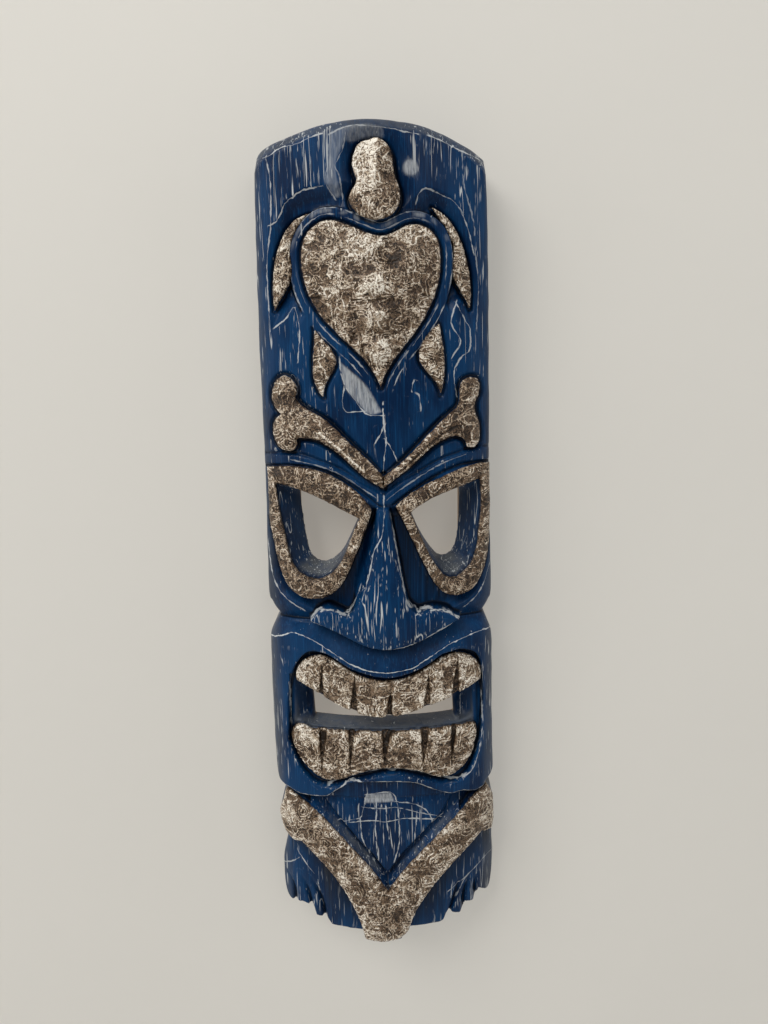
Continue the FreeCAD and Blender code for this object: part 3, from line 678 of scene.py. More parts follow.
def wrinkles(x, z):
    """Height of the crumpled ridges, 0 in the hollows to 1 on the crests, and a tint.

    Thin ridges wander over the skin in tangled loops of three sizes.  The skin is also broken into
    scraps that meet in straight ridges, and each scrap has its own tint and its own share of loops.
    """
    x = x + 1.3 * value_noise(x, z, 4.4, 4.4, 31) + 0.4 * value_noise(x, z, 1.5, 1.5, 33)
    z = z + 1.3 * value_noise(x, z, 4.4, 4.4, 32) + 0.4 * value_noise(x, z, 1.5, 1.5, 34)
    dice = np.random.default_rng(RANDOM_SEED + 100).uniform(0, 1, (4, 64, 64))
    column, row = np.floor(x / SCRAP).astype(int), np.floor(z / SCRAP).astype(int)
    first, second = np.full(x.shape, 1e9), np.full(x.shape, 1e9)
    tint, share = np.zeros_like(x), np.zeros_like(x)
    for i in (-1, 0, 1):
        for j in (-1, 0, 1):
            shift_x, shift_z, own_tint, own_share = dice[:, (column + i) % 64, (row + j) % 64]
            away = np.hypot(x - (column + i + shift_x) * SCRAP, z - (row + j + shift_z) * SCRAP)
            nearer = away < first
            tint = np.where(nearer, own_tint, tint)
            share = np.where(nearer, own_share, share)
            second = np.minimum(np.where(nearer, first, away), second)
            first = np.minimum(away, first)
    seam = np.clip(1 - (second - first) / 0.9, 0, 1)
    seam = seam * ramp(value_noise(x, z, 4.0, 4.0, 36), -0.3, 0.3)
    broad = contour_web(x, z, 6.5, 41, 2.6, 0.62)
    middle = contour_web(x, z, 3.8, 42, 2.0, 0.52)
    fine = contour_web(x, z, 2.4, 43, 1.5, 0.45)
    ridge = np.maximum.reduce([
        broad, middle * ramp(share, 0.10, 0.45), 0.85 * fine * ramp(share, 0.35, 0.7), seam,
    ])
    fade = ramp(value_noise(x, z, 3.1, 3.1, 35), -0.9, -0.1)
    return ridge * (0.30 + 0.70 * fade), tint


WRINKLE_DEPTH = 0.8  # millimetres from a hollow to a crest

# --- closed surfaces from fields
NARROW_BAND = 3.0  # voxels kept each side of a surface


def surface_mesh(name, field, spacing, corner):
    """A quad mesh of the zero level of a field given in millimetres on a regular grid."""
    values = np.clip(field / spacing, -NARROW_BAND, NARROW_BAND).astype(np.float32)
    grid = openvdb.FloatGrid(NARROW_BAND)
    grid.copyFromArray(values, tolerance=0.0)
    points, _, quads = grid.convertToPolygons(isovalue=0.0, adaptivity=0.0)
    place = points.astype(np.float64) * spacing + np.array(corner)
    co = np.column_stack([place[:, 0], -place[:, 1], place[:, 2] - HANG_HEIGHT]) * MM
    mesh = bpy.data.meshes.new(name)
    mesh.vertices.add(len(co))
    mesh.vertices.foreach_set("co", co.astype(np.float32).ravel())
    mesh.loops.add(quads.size)
    mesh.loops.foreach_set("vertex_index", quads.astype(np.int32).ravel())
    mesh.polygons.add(len(quads))
    mesh.polygons.foreach_set("loop_start", np.arange(0, quads.size, 4, dtype=np.int32))
    mesh.update(calc_edges=True)
    mesh.validate()
    return mesh


def read(items, name, width):
    """One property of every vertex or face, a row for each."""
    values = np.zeros(len(items) * width, np.float32)
    items.foreach_get(name, values)
    return values.reshape(-1, width).astype(float)


def outward(mesh):
    """Turns every face outwards."""
    faces = mesh.polygons
    flow = read(faces, "center", 3) * read(faces, "normal", 3) * read(faces, "area", 1)
    if flow.sum() < 0:
        mesh.flip_normals()


def thin_out(piece, faces, kept):
    """Decimates to a number of triangles and leaves the kept vertices alone."""
    count = sum(len(p.vertices) - 2 for p in piece.data.polygons)
    if count <= faces:
        return
    modifier = piece.modifiers.new("thin_out", "DECIMATE")
    modifier.ratio = faces / count
    group = piece.vertex_groups.new(name="soft")
    group.add(np.nonzero(~kept)[0].tolist(), 1.0, "REPLACE")
    modifier.vertex_group = "soft"
    modifier.vertex_group_factor = 1.0
    graph = bpy.context.evaluated_depsgraph_get()
    old = piece.data
    mesh = bpy.data.meshes.new_from_object(piece.evaluated_get(graph))
    piece.modifiers.clear()
    piece.vertex_groups.clear()
    piece.data = mesh
    bpy.data.meshes.remove(old)


def place_piece(name, mesh):
    piece = bpy.data.objects.new(name, mesh)
    bpy.context.scene.collection.objects.link(piece)
    return piece


def coordinates(mesh):
    """x, depth and z of every vertex, in millimetres."""
    co = read(mesh.vertices, "co", 3) / MM
    return co[:, 0], -co[:, 1], co[:, 2] + HANG_HEIGHT


def store(mesh, name, values):
    """Keeps a value from 0 to 1 on every vertex, for the materials."""
    attribute = mesh.attributes.new(name, "FLOAT", "POINT")
    attribute.data.foreach_set("value", np.clip(values, 0, 1).astype(np.float32))


# --- the carved body
HOLLOW_HALF_WIDTH, HOLLOW_CORNER, HOLLOW_FOOT, HOLLOW_TOP = 50.0, 44.0, 30.0, 450.0
WOOD_THICKNESS = 20.0
RECESS_HALF_WIDTH, RECESS_FOOT, RECESS_DEPTH = 17.0, 461.0, 5.0
EYE_THROAT, MOUTH_THROAT = 16.0, 24.0  # depth at which a hole is down to its back outline
RIM_SUNK = 1.5  # the holes start to narrow this far under the front
BODY_SPACING = 0.75
BODY_FACES = 195000


def body_field():
    """Signed distance to the wood's surface on a regular grid, and the grid's first corner."""
    xs = np.arange(-75, 75 + BODY_SPACING, BODY_SPACING)
    ds = np.arange(-2.4, 60, BODY_SPACING)
    zs = np.arange(-4.5, 505, BODY_SPACING)
    x, z = np.meshgrid(xs, zs, indexing="ij")
    depth = ds[None, :, None].astype(np.float32)

    def column(field):
        return sample(field, x, z).astype(np.float32)[:, None, :]

    slope_x, slope_z = np.gradient(RELIEF, STEP)
    steepness = np.sqrt(1 + np.minimum(slope_x**2 + slope_z**2, 6.0))
    field = (depth - column(RELIEF)) / column(steepness)
    ragged = value_noise(x, z, 5.0, 9.0, 41).astype(np.float32)[:, None]
    wood_edge = column(WOOD_EDGE) + 0.25 * ragged
    arris = 1.0 + 1.2 * ramp(z, 45, 60)
    field = smooth_max(field, wood_edge, arris.astype(np.float32)[:, None])
    field = smooth_max(field, -depth, 1.5)

    px = np.abs(x) - HOLLOW_HALF_WIDTH + HOLLOW_CORNER
    pz = np.abs(z - (HOLLOW_FOOT + HOLLOW_TOP) / 2) - (HOLLOW_TOP - HOLLOW_FOOT) / 2 + HOLLOW_CORNER
    trough = np.hypot(np.maximum(px, 0), np.maximum(pz, 0)) + np.minimum(np.maximum(px, pz), 0)
    trough = trough - HOLLOW_CORNER
    radius = BOW_RADIUS - WOOD_THICKNESS
    ceiling = FRONT_DEPTH - BOW_RADIUS + np.sqrt(radius**2 - np.minimum(np.abs(x), 60.0) ** 2)
    ceiling = ceiling + 0.5 * value_noise(x, z, 9.0, 26.0, 42)
    hollow = smooth_max(trough[:, None, :], depth - ceiling[:, None, :], 4.0)
    field = np.maximum(field, -hollow.astype(np.float32))

    mouth_front = signed(outline(MOUTH_FLARE), reach=40.0)
    for front, back, reach, throat in (
        (EDGE["eye_surround_left_opening"], EYE_LEFT_BACK, 60.0, EYE_THROAT),
        (EDGE["eye_surround_right_opening"], EYE_RIGHT_BACK, 60.0, EYE_THROAT),
        (mouth_front, MOUTH_GAP, 40.0, MOUTH_THROAT),
    ):
        rim = column(BASE) - RIM_SUNK
        along = np.clip((rim - depth) / (rim - throat), 0, 1)
        hole = column(front) * (1 - along) + column(signed(outline(back), reach)) * along
        field = np.maximum(field, -hole)

    recess = np.maximum(np.abs(x) - RECESS_HALF_WIDTH, RECESS_FOOT - z)
    recess = np.maximum(recess[:, None, :], depth - RECESS_DEPTH)
    field = np.maximum(field, -recess.astype(np.float32))
    return field, (xs[0], ds[0], zs[0])


def composite_map():
    """The relief with the skins on it, where hollows and crests are looked for."""
    surface = RELIEF.copy()
    for node in SKIN_NODES:
        surface = surface + inside(EDGE[node], 0.25) * (FORM[node] - surface)
    return surface


SURFACE = composite_map()
NEAREST_SKIN = np.minimum.reduce([EDGE[node] for node in SKIN_NODES])

# Lines where the paint is rubbed through to the pale ground: points and strength.
WORN_LINES = [
    (BLOCK_CREST, 1.0),
    (LIP_CREST, 0.9),
    ([(-66, 484), (-57, 483.5), (-50.5, 487), (-41, 488), (-33.5, 490.5), (-27.5, 492)], 0.9),
    ([(-21.5, 492), (-13.5, 495), (-5.5, 495.5), (8.5, 494), (17, 492), (24, 491)], 0.7),
    ([(32, 490), (38, 488), (49.5, 483.5), (56, 482), (64, 479)], 0.9),
    ([(-58.5, 482.5), (-56.5, 469), (-57.5, 447.5), (-60, 433), (-61, 418), (-60.5, 391)], 0.7),
    ([(-57.5, 447.5), (-53.5, 449.5), (-48.5, 458), (-44, 461), (-39, 464), (-29, 465.5)], 0.8),
    ([(24, 457), (25.5, 461), (29, 463.5), (37.5, 460.5), (46, 456), (52, 445), (56, 431)], 0.7),
    ([(49.5, 482.5), (50.5, 466), (56, 447), (57, 432.5), (59, 413), (58, 390)], 0.45),
    ([(-57, 392), (-50.5, 396.5), (-46.5, 402), (-44.5, 400), (-43, 388.5), (-44.5, 373)], 0.8),
    ([(46, 403), (43, 392), (48.5, 382), (44, 373.5)], 0.8),
    ([(46.5, 402), (52, 392), (54, 389), (54, 377.5), (48.5, 372.5), (44.5, 364), (46, 352)], 0.8),
    ([(-20.5, 372), (-19.5, 363.5), (-17.5, 357.5), (-12, 349.5), (-6, 342), (2.5, 341)], 0.9),
    ([(-18.5, 356.5), (-19.5, 349.5), (-18, 343.5), (-12, 343.5), (-8, 343.5)], 0.8),
    ([(3.5, 347), (3.5, 342), (4, 335), (5, 326.5), (3.5, 315.5), (3, 309)], 1.0),
    ([(4, 335), (1.5, 330), (-1, 326)], 0.8),
    ([(5, 326.5), (8.5, 321), (10.5, 316)], 0.8),
    ([(3, 293), (3, 287.5), (2.5, 278), (1, 270.5), (-3.5, 262), (-5.5, 252.5), (-10.5, 235)], 0.8),
    ([(6.8, 282), (8.8, 270), (10.8, 257.5), (13.5, 242), (16, 231), (21.5, 225.2)], 0.9),
    ([(-42.5, 219.5), (-39, 224), (-34, 227), (-28.5, 226.8), (-23, 224.5), (-19, 223.5)], 0.9),
    ([(-19, 224.5), (-16, 229.5), (-12, 240)], 0.7),
    ([(22, 224.6), (29.5, 226), (35, 225.2), (40.5, 223.5), (44.5, 221), (47.3, 218.8)], 1.0),
    ([(-41, 219.5), (-31, 214.5), (-18, 207.5), (-9, 203.5), (2.5, 202.8), (14.5, 204.5)], 0.9),
    ([(14.5, 204.5), (23.5, 207.5), (34.5, 213.5), (47.5, 218.5)], 0.9),
    ([(-68.5, 262), (-66.5, 245), (-62.5, 235.5), (-56, 229), (-48, 223.5)], 0.8),
    ([(67.5, 250), (63.5, 238), (58.5, 230), (52, 224)], 0.8),
    ([(62, 165), (62.5, 148), (61.5, 137), (59.5, 127), (55, 117), (45.5, 111.5), (34, 113.5),
      (20, 118.5), (4, 121), (-14, 118.5), (-34, 111)], 0.8),
    ([(-58, 176), (-58.5, 152)], 0.6),
    ([(-26.5, 82.5), (-22, 76.5), (-16, 69), (-9.5, 62.5), (-3.5, 54), (1, 48)], 0.9),
    ([(1, 48), (6.5, 56), (13, 64), (26, 77), (35.5, 84)], 0.9),
    ([(-11.5, 103), (3.5, 104.5), (7.5, 97.5), (8.5, 88.5), (8.5, 70), (5.5, 57.5)], 0.8),
    ([(-11.5, 103), (-14.5, 91), (-16, 87), (-22, 85), (-29, 83)], 0.8),
    ([(-6, 101), (-5.5, 91.5), (-6.5, 81), (-5.5, 62.5)], 0.8),
    ([(-13, 94.5), (-2, 94), (7.5, 94.5), (20, 90), (31.5, 86)], 0.8),
    ([(-22, 83.5), (-10.5, 85.5), (0.5, 85), (12, 86.5), (23, 85), (34.5, 83)], 0.9),
    ([(8, 98), (19, 95.5), (26.5, 90), (30, 82), (26.5, 77.5)], 0.8),
    ([(-16, 85.5), (-15, 73), (-11, 62)], 0.8),
    ([(0.5, 94.5), (1, 84), (2, 74.5)], 0.8),
    ([(20, 89), (18.5, 72.5)], 0.8),
    ([(-57.5, 52.5), (-52.5, 45.5), (-46, 37), (-45, 27.5)], 0.9),
    ([(-68.5, 41), (-62, 45.5), (-58.5, 48.5)], 0.7),
    ([(41.5, 27.5), (54, 36), (65, 43.5), (69, 45)], 0.8),
    ([(46, 22), (52, 34), (61, 41)], 0.6),
    ([(21, 359), (20, 354), (24, 352.5), (25, 344.5)], 0.7),
    ([(-50, 315.5), (-36, 312.6), (-24, 308), (-14, 302), (-3, 294.5)], 0.55),
    ([(50, 316.5), (38, 312.5), (27, 306.8), (15, 299.5), (6, 293)], 0.5),
    ([(-23.5, 485), (-24, 476), (-25.5, 467.5), (-21, 460)], 0.5),
    ([(-14, 491), (-16, 483), (-20, 475.5), (-18, 471), (-16.5, 461)], 0.5),
]
# Worn lines that keep a distance from a skin: node, millimetres, strength.
RIM_LINES = [("turtle_shell", 3.4, 0.6), ("turtle_shell", 6.9, 0.7)]
LINE_REACH = 2.4  # millimetres each side of a worn line in which its distance is kept


def worn_layers():
    """Signed distances across the worn lines; lines that meet lie in different layers."""
    layers, lines = [], []
    for points, strength in WORN_LINES:
        run = smooth_run(points)
        part = window(run, LINE_REACH)
        lines.append((part, *across_run(run, X[part], Z[part]), strength))
    for node, offset, strength in RIM_LINES:
        across = EDGE[node] - offset
        broken = ramp(value_noise(X, Z, 9.0, 9.0, 63), -0.5, 0.1) * ramp(Z, 346, 358)
        lines.append((slice(None), np.abs(across), across, strength * broken))
    for part, away, across, strength in lines:
        near = away < LINE_REACH
        layer = next((item for item in layers if not (item["taken"][part] & near).any()), None)
        if layer is None:
            layer = {key: np.zeros(X.shape) for key in ("across", "near")}
            layer["taken"] = np.zeros(X.shape, bool)
            layers.append(layer)
        layer["taken"][part] |= near
        layer["across"][part] = np.where(near, across, layer["across"][part])
        close = strength * (1 - ramp(away, 1.4, 2.1))
        layer["near"][part] = np.maximum(layer["near"][part], close)
    return layers


def dust_and_sheen_map():
    """Where the paint is grey, partly dust and partly a painted sheen of reflected light: the top
    chamfer, the bevel inside the chin collar and a ledge across the teeth.
    """
    # Painted sheen with some dust on the chamfer, the collar's bevel and the teeth ledge.
    chamfer = 0.55 * (1 - ramp(BELOW_TOP, 4.5, 6.5))
    collar = EDGE["chin_chevron"]
    bevel = 0.85 * inside(np.abs(collar - 1.9) - 1.3, 0.5) * ramp(Z, 46, 54) * (1 - ramp(Z, 84, 92))
    teeth_ledge = 0.85 * inside(np.abs(Z - 150.5) - 4.0, 1.0) * (HALF < 57)
    return np.maximum.reduce([chamfer, bevel * (HALF < 42), teeth_ledge])


SPOT_X, SPOT_Z, SPOT_RADIUS = 21.0, 474.0, 4.0


def pale_marks_and_reflection_map():
    """Larger pale places: painted reflections on the flat cut under the shell, the facets at the
    top and a chin facet; a round spot; scratches on the shell's rib.
    """
    # Painted reflections: the flat cut, the two facets at the top and the chin facet.
    places = [
        (0.9, [[(-20, 371), (-18, 358), (-11, 349), (-4.5, 342)], [(2.5, 343), (-6, 358)]]),
        (0.42, [[(-22, 493), (-24, 476), (-25, 467), (-20, 460)],
                [(-17, 461), (-20, 475), (-17, 483), (-12, 494)]]),
        (0.42, [[(-15, 495), (-2, 496), (6, 494)], [(6, 489), (-4, 489.5), (-13, 488)]]),
        (0.9, [[(-11.5, 103)], [(3.5, 104.5)], [(5.5, 98.5)], [(-13, 97.5)]]),
    ]
    pale = 0.95 * inside(np.hypot(X - SPOT_X, Z - SPOT_Z) - SPOT_RADIUS, 1.0)
    for strength, loop in places:
        pale = np.maximum(pale, strength * inside(signed(outline(loop)), 0.5))
    rib = inside(np.abs(EDGE["turtle_shell"] - 5.4) - 1.0, 0.6) * ramp(Z, 430, 442)
    pale = np.maximum(pale, 0.5 * rib * ramp(value_noise(X, Z, 3.0, 3.0, 62), -0.3, 0.3))
    return pale * ramp(NEAREST_SKIN, 0.0, 0.8)


def dark_paint_and_shade_map():
    """Black groove paint and painted shade in sharp creases, and painted shade in broad folds."""
    crease = blur(SURFACE, 1.0) - SURFACE
    fold = blur(SURFACE, 2.4) - SURFACE
    valley = inside(VALLEY_EDGE, 2.0)
    open_place = (1 - valley) * ramp(Z, 96, 102)
    # Creases: black groove paint with painted shade; folds outside the valley: painted shade only.
    return np.maximum(ramp(crease, 0.34, 0.95), 0.4 * open_place * ramp(fold, 1.0, 2.6))


# Painted highlights on the raised scutes down the middle, and brown patches of the shell: middle,
# size and change of tone.
SHELL_HIGHLIGHTS_AND_TONES = [
    (-8, 433, 12, 0.26), (-1, 412, 11, 0.20), (0, 392, 10, 0.18), (3, 378, 9, 0.12),
    (11, 424, 9, -0.26), (-36, 424, 9, -0.20), (-24, 414, 10, 0.12), (24, 436, 10, 0.06),
    (34, 414, 9, -0.10), (-20, 400, 9, 0.10), (20, 402, 9, -0.08), (-12, 372, 7, 0.06),
]
# How much paler or darker each skin is as a whole.
NODE_TONES = {
    "brow_bone_left": -0.15, "brow_bone_right": -0.13, "upper_teeth": 0.12, "lower_teeth": 0.07,
    "eye_surround_left": -0.18, "eye_surround_right": -0.18, "front_flipper_left": -0.03,
    "front_flipper_right": -0.03, "rear_flipper_left": -0.03, "rear_flipper_right": -0.03,
    "turtle_shell": 0.02,
}
# The spine's value is a painted highlight line.
LIFT_RANGE = 2.6  # the sharp spine counts this much more than an ordinary raised place


def highlight_and_rub_map():
    """Painted highlights on raised places and the left bone's sharp spine, and rubbed skin rims."""
    # Painted highlight on convex places; the broken rim is rubbed wear.
    raised = 0.6 * ramp(SURFACE - blur(SURFACE, 5.0), 0.2, 1.4)
    broken = ramp(value_noise(X, Z, 5.0, 5.0, 61), -0.4, 0.4)
    rim = 0.9 * (1 - ramp(np.abs(NEAREST_SKIN + 0.7), 0.3, 0.9)) * broken
    # Painted highlight along the spine of the left bone.
    spine = LIFT_RANGE * (1 - ramp(distance(BONE_SPINE), 0.4, 1.1))
    return np.maximum.reduce([raised, rim, spine])


def tone_and_painted_light_map():
    """Paler and browner places of the skins: head planes, scutes down the shell, bands; the head's
    left plane and the middle scutes get painted highlights.
    """
    tone = np.full(X.shape, 0.02)
    # Painted highlight: the head's left plane is paler, as if lit from the left.
    head_left_painted_light = ramp(HEAD_RIDGE - X, -0.6, 0.6) * ramp(Z, 456, 466)
    head = inside(EDGE["turtle_head"], 0.3)
    tone = tone + head * (0.38 * head_left_painted_light - 0.04)
    shell = inside(EDGE["turtle_shell"], 0.3)
    for x, z, size, change in SHELL_HIGHLIGHTS_AND_TONES:
        tone = tone + shell * change * (1 - ramp(np.hypot(X - x, Z - z), 0.4 * size, size))
    for node, change in NODE_TONES.items():
        tone = tone + change * inside(EDGE[node], 0.3)
    return tone


def grain_map():
    """Where the fine upright scratches crowd together, and the smooth places without any."""
    nose = inside(NOSE_EDGE, 2.0)
    forehead = ramp(Z, 325, 350) * ramp(-X, 20, 45)
    forehead_right = 0.6 * ramp(Z, 345, 380) * ramp(X, 40, 50)
    sides = ramp(HALF, 55, 60) * ramp(Z, 105, 112) * (1 - ramp(Z, 198, 205))
    crown = 0.8 * ramp(Z, 462, 472) * ramp(HALF, 14, 24)
    chin_zone = 0.5 * (1 - ramp(Z, 95, 104))
    crowd = 0.30 + 0.75 * nose + 0.6 * forehead + forehead_right + 0.6 * sides + crown + chin_zone
    block_crest = crest_height(BLOCK_CREST)
    block_top = ramp(Z, block_crest - 1, block_crest + 3) * (1 - ramp(Z, 214, 217)) * (1 - nose)
    valley = inside(VALLEY_EDGE, 2.0) * (1 - nose)
    smooth = np.maximum(0.75 * block_top, valley)
    for edge in POCKET_EDGES:
        smooth = np.maximum(smooth, inside(edge, 1.5))
    smooth = np.maximum(smooth, ramp(12 - EDGE["turtle_head"], 0, 3) * ramp(Z, 455, 470))
    crest = ramp(SURFACE - blur(SURFACE, 1.1), 0.2, 0.6) * ramp(NEAREST_SKIN, 0.2, 0.8)
    return np.maximum(np.clip(crowd, 0, 1) * (1 - smooth), 0.9 * crest * (1 - valley))


PALE_MARKS_AND_REFLECTION, DARK_PAINT_AND_SHADE, GRAIN = pale_marks_and_reflection_map(), dark_paint_and_shade_map(), grain_map()
HIGHLIGHT_AND_RUB, TONE_AND_PAINTED_LIGHT = highlight_and_rub_map(), tone_and_painted_light_map()
# Painted shade on the floors of the cuts between teeth and along the crease of the right bone.
bone_crease_shade = 0.9 * (1 - ramp(distance(RIGHT_BONE_LINE), 0.3, 0.9))
CUT_SHADE = np.maximum.reduce([UPPER_FLOOR, LOWER_FLOOR, bone_crease_shade])
DUST_AND_SHEEN = dust_and_sheen_map()
WORN_LAYERS = worn_layers()


MOUTH_WALL_LOW, MOUTH_WALL_HIGH, MOUTH_WALL_OUTSIDE = 145, 185, 60
EYES_LOW, EYES_HIGH = 236, 306
SLACK = 1.0  # bare wood starts this far outside the hollow and the recess
BARE_AT_ENDS, BARE_AT_FACE = 28, 20  # depth up to which the hollow is bare


def build_body():
    """The wood, with the values that its paint reads."""
    field, corner = body_field()
    mesh = surface_mesh("carved_body_looks", field, BODY_SPACING, corner)
    outward(mesh)
    piece = place_piece("carved_body_looks", mesh)
    x, depth, z = coordinates(mesh)
    lines = np.maximum.reduce([layer["taken"] for layer in WORN_LAYERS]).astype(float)
    rim = np.hypot(*np.gradient(PALE_MARKS_AND_REFLECTION, STEP)) > 0.12
    kept = (sample(np.maximum(lines, rim), x, z) > 0.5) & (sample(RELIEF, x, z) - depth < 2.5)
    thin_out(piece, BODY_FACES, kept)
    mesh = piece.data
    outward(mesh)
    x, depth, z = coordinates(mesh)
    facing_back, facing_up = read(mesh.vertices, "normal", 3).T[1:]
    half = np.abs(x)
    behind = sample(RELIEF, x, z) - depth
    front = 1 - ramp(behind, 1.2, 3.5)
    for index, layer in enumerate(WORN_LAYERS):
        store(mesh, f"line_{index}", 0.5 + 0.5 * sample(layer["across"], x, z) / LINE_REACH)
        store(mesh, f"line_{index}_near", sample(layer["near"], x, z) * front)
    # Pale places: painted reflections on some facets, a round spot and scratches on the shell's
    # rib.
    store(mesh, "pale", sample(PALE_MARKS_AND_REFLECTION, x, z) * front)
    mouth_wall = (z > MOUTH_WALL_LOW) & (z < MOUTH_WALL_HIGH) & (half < MOUTH_WALL_OUTSIDE)
    mouth_wall = mouth_wall * ramp(half, 46, 48) * ramp(behind, 0.2, 1.5)
    # Painted shade on the end walls of the mouth, added to the creases' black paint and painted
    # shade.
    store(mesh, "dark_paint_and_shade", np.maximum(sample(DARK_PAINT_AND_SHADE, x, z) * front, 0.5 * mouth_wall))
    openings = [sample(EDGE[f"eye_surround_{side}_opening"], x, z) for side in ("left", "right")]
    eye_wall = (1 - ramp(np.minimum(*openings), -0.5, 0.5)) * (1 - ramp(facing_back, 0.1, 0.4))
    around = 0.35 + 0.55 * np.maximum(eye_wall, mouth_wall)
    on_front = front * (1 - eye_wall)
    store(mesh, "grain", sample(GRAIN, x, z) * on_front + around * (1 - on_front))
    near_eyes = (z > EYES_LOW) & (z < EYES_HIGH)
    deep = np.where((z < 120) | (z > 310), BARE_AT_ENDS, BARE_AT_FACE)
    in_hollow = (z > HOLLOW_FOOT - SLACK) & (z < HOLLOW_TOP + SLACK) & ~near_eyes
    in_hollow = in_hollow & (half < HOLLOW_HALF_WIDTH + SLACK) & (depth < deep)
    in_recess = (half < RECESS_HALF_WIDTH + SLACK) & (z > RECESS_FOOT - SLACK)
    in_recess = in_recess & (depth < RECESS_DEPTH + 0.5)
    bare = np.maximum(ramp(facing_back, 0.0, 0.5), in_hollow | in_recess)
    back = ramp(facing_back, 0.5, 0.8) * ramp(behind, 4, 7)
    store(mesh, "raw", np.maximum(bare * ramp(behind, 10, 16), back))
    # Grey, partly dust and partly a painted sheen of reflected light, on the flanks, upward faces,
    # chamfer, bevels and teeth ledge; a little on the eye-hole walls.
    flank = ramp(half, 60, 69) * (1 - ramp(facing_back, 0.2, 0.6))
    ledge = ramp(facing_up, 0.35, 0.8) * (half < 62)
    ledge = ledge * np.where(z > 200, ramp(behind, 1.0, 4.0), 0.85 * ramp(behind, 0.2, 1.0))
    dust_and_sheen = sample(DUST_AND_SHEEN, x, z) * front
    store(mesh, "side", np.maximum.reduce([0.6 * flank, ledge, dust_and_sheen, 0.20 * eye_wall]))
    mesh.polygons.foreach_set("use_smooth", np.ones(len(mesh.polygons), bool))
    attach(piece, "mask")
    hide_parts("carved_body")
    return piece


# --- the skins
SKIN_SPACING = 0.45
SKIN_BACK = 2.6  # a skin is sunk this far under its own front, into the wood
SKIN_FACES = 0.62  # share of a skin's triangles that is kept
SKIN_MARGIN = 2.0  # room round a skin in its own grid


def build_skin(node):
    """One crumpled skin, with the values that its material reads."""
    edge, form = EDGE[node], FORM[node]
    place = np.argwhere(edge < 0.5)
    (i0, j0), (i1, j1) = place.min(0), place.max(0)
    top = form[edge < 0.5]
    xs = np.arange(GRID_X[i0] - SKIN_MARGIN, GRID_X[i1] + SKIN_MARGIN, SKIN_SPACING)
    zs = np.arange(GRID_Z[j0] - SKIN_MARGIN, GRID_Z[j1] + SKIN_MARGIN, SKIN_SPACING)
    ds = np.arange(top.min() - SKIN_BACK - SKIN_MARGIN, top.max() + 2.5, SKIN_SPACING)
    x, z = np.meshgrid(xs, zs, indexing="ij")
    depth = ds[None, :, None]
    ragged = sample(edge, x, z) + 0.22 * value_noise(x, z, 1.7, 1.7, 51)
    front = sample(form, x, z) + WRINKLE_DEPTH * (wrinkles(x, z)[0] - 0.5)
    field = smooth_max(depth - front[:, None, :], ragged[:, None, :], 0.8)
    field = np.maximum(field, (sample(form, x, z) - SKIN_BACK)[:, None, :] - depth)
    mesh = surface_mesh(node + "_looks", field, SKIN_SPACING, (xs[0], ds[0], zs[0]))
    outward(mesh)
    piece = place_piece(node + "_looks", mesh)
    none_kept = np.zeros(len(mesh.vertices), bool)
    thin_out(piece, int(2 * len(mesh.polygons) * SKIN_FACES), none_kept)
    mesh = piece.data
    outward(mesh)
    x, depth, z = coordinates(mesh)
    behind = sample(form, x, z) - depth
    ridge, tint = wrinkles(x, z)
    store(mesh, "ridge", ridge * (1 - ramp(behind, 0.9, 1.8)))
    # The tone carries painted highlights on the head's left plane and the middle scutes.
    store(mesh, "tone", 0.5 + 0.5 * (sample(TONE_AND_PAINTED_LIGHT, x, z) + 0.22 * (tint - 0.5)))
    # Painted shade and black groove paint of the creases, weaker on the skins.
    store(mesh, "dark_paint_and_shade", 0.7 * sample(DARK_PAINT_AND_SHADE, x, z))
    # Painted shade in the cuts between teeth and in the right bone's crease.
    store(mesh, "cut", sample(CUT_SHADE, x, z))
    # Painted highlights on raised places and the left bone's spine, and rubbed rims.
    store(mesh, "highlight_and_rub", sample(HIGHLIGHT_AND_RUB, x, z) / LIFT_RANGE)
    mesh.polygons.foreach_set("use_smooth", np.ones(len(mesh.polygons), bool))
    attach(piece, "mask")
    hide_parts(node)
    return piece


# --- materials
SKIN_TONE = 0.20  # lifts the whole range of the skins' colours


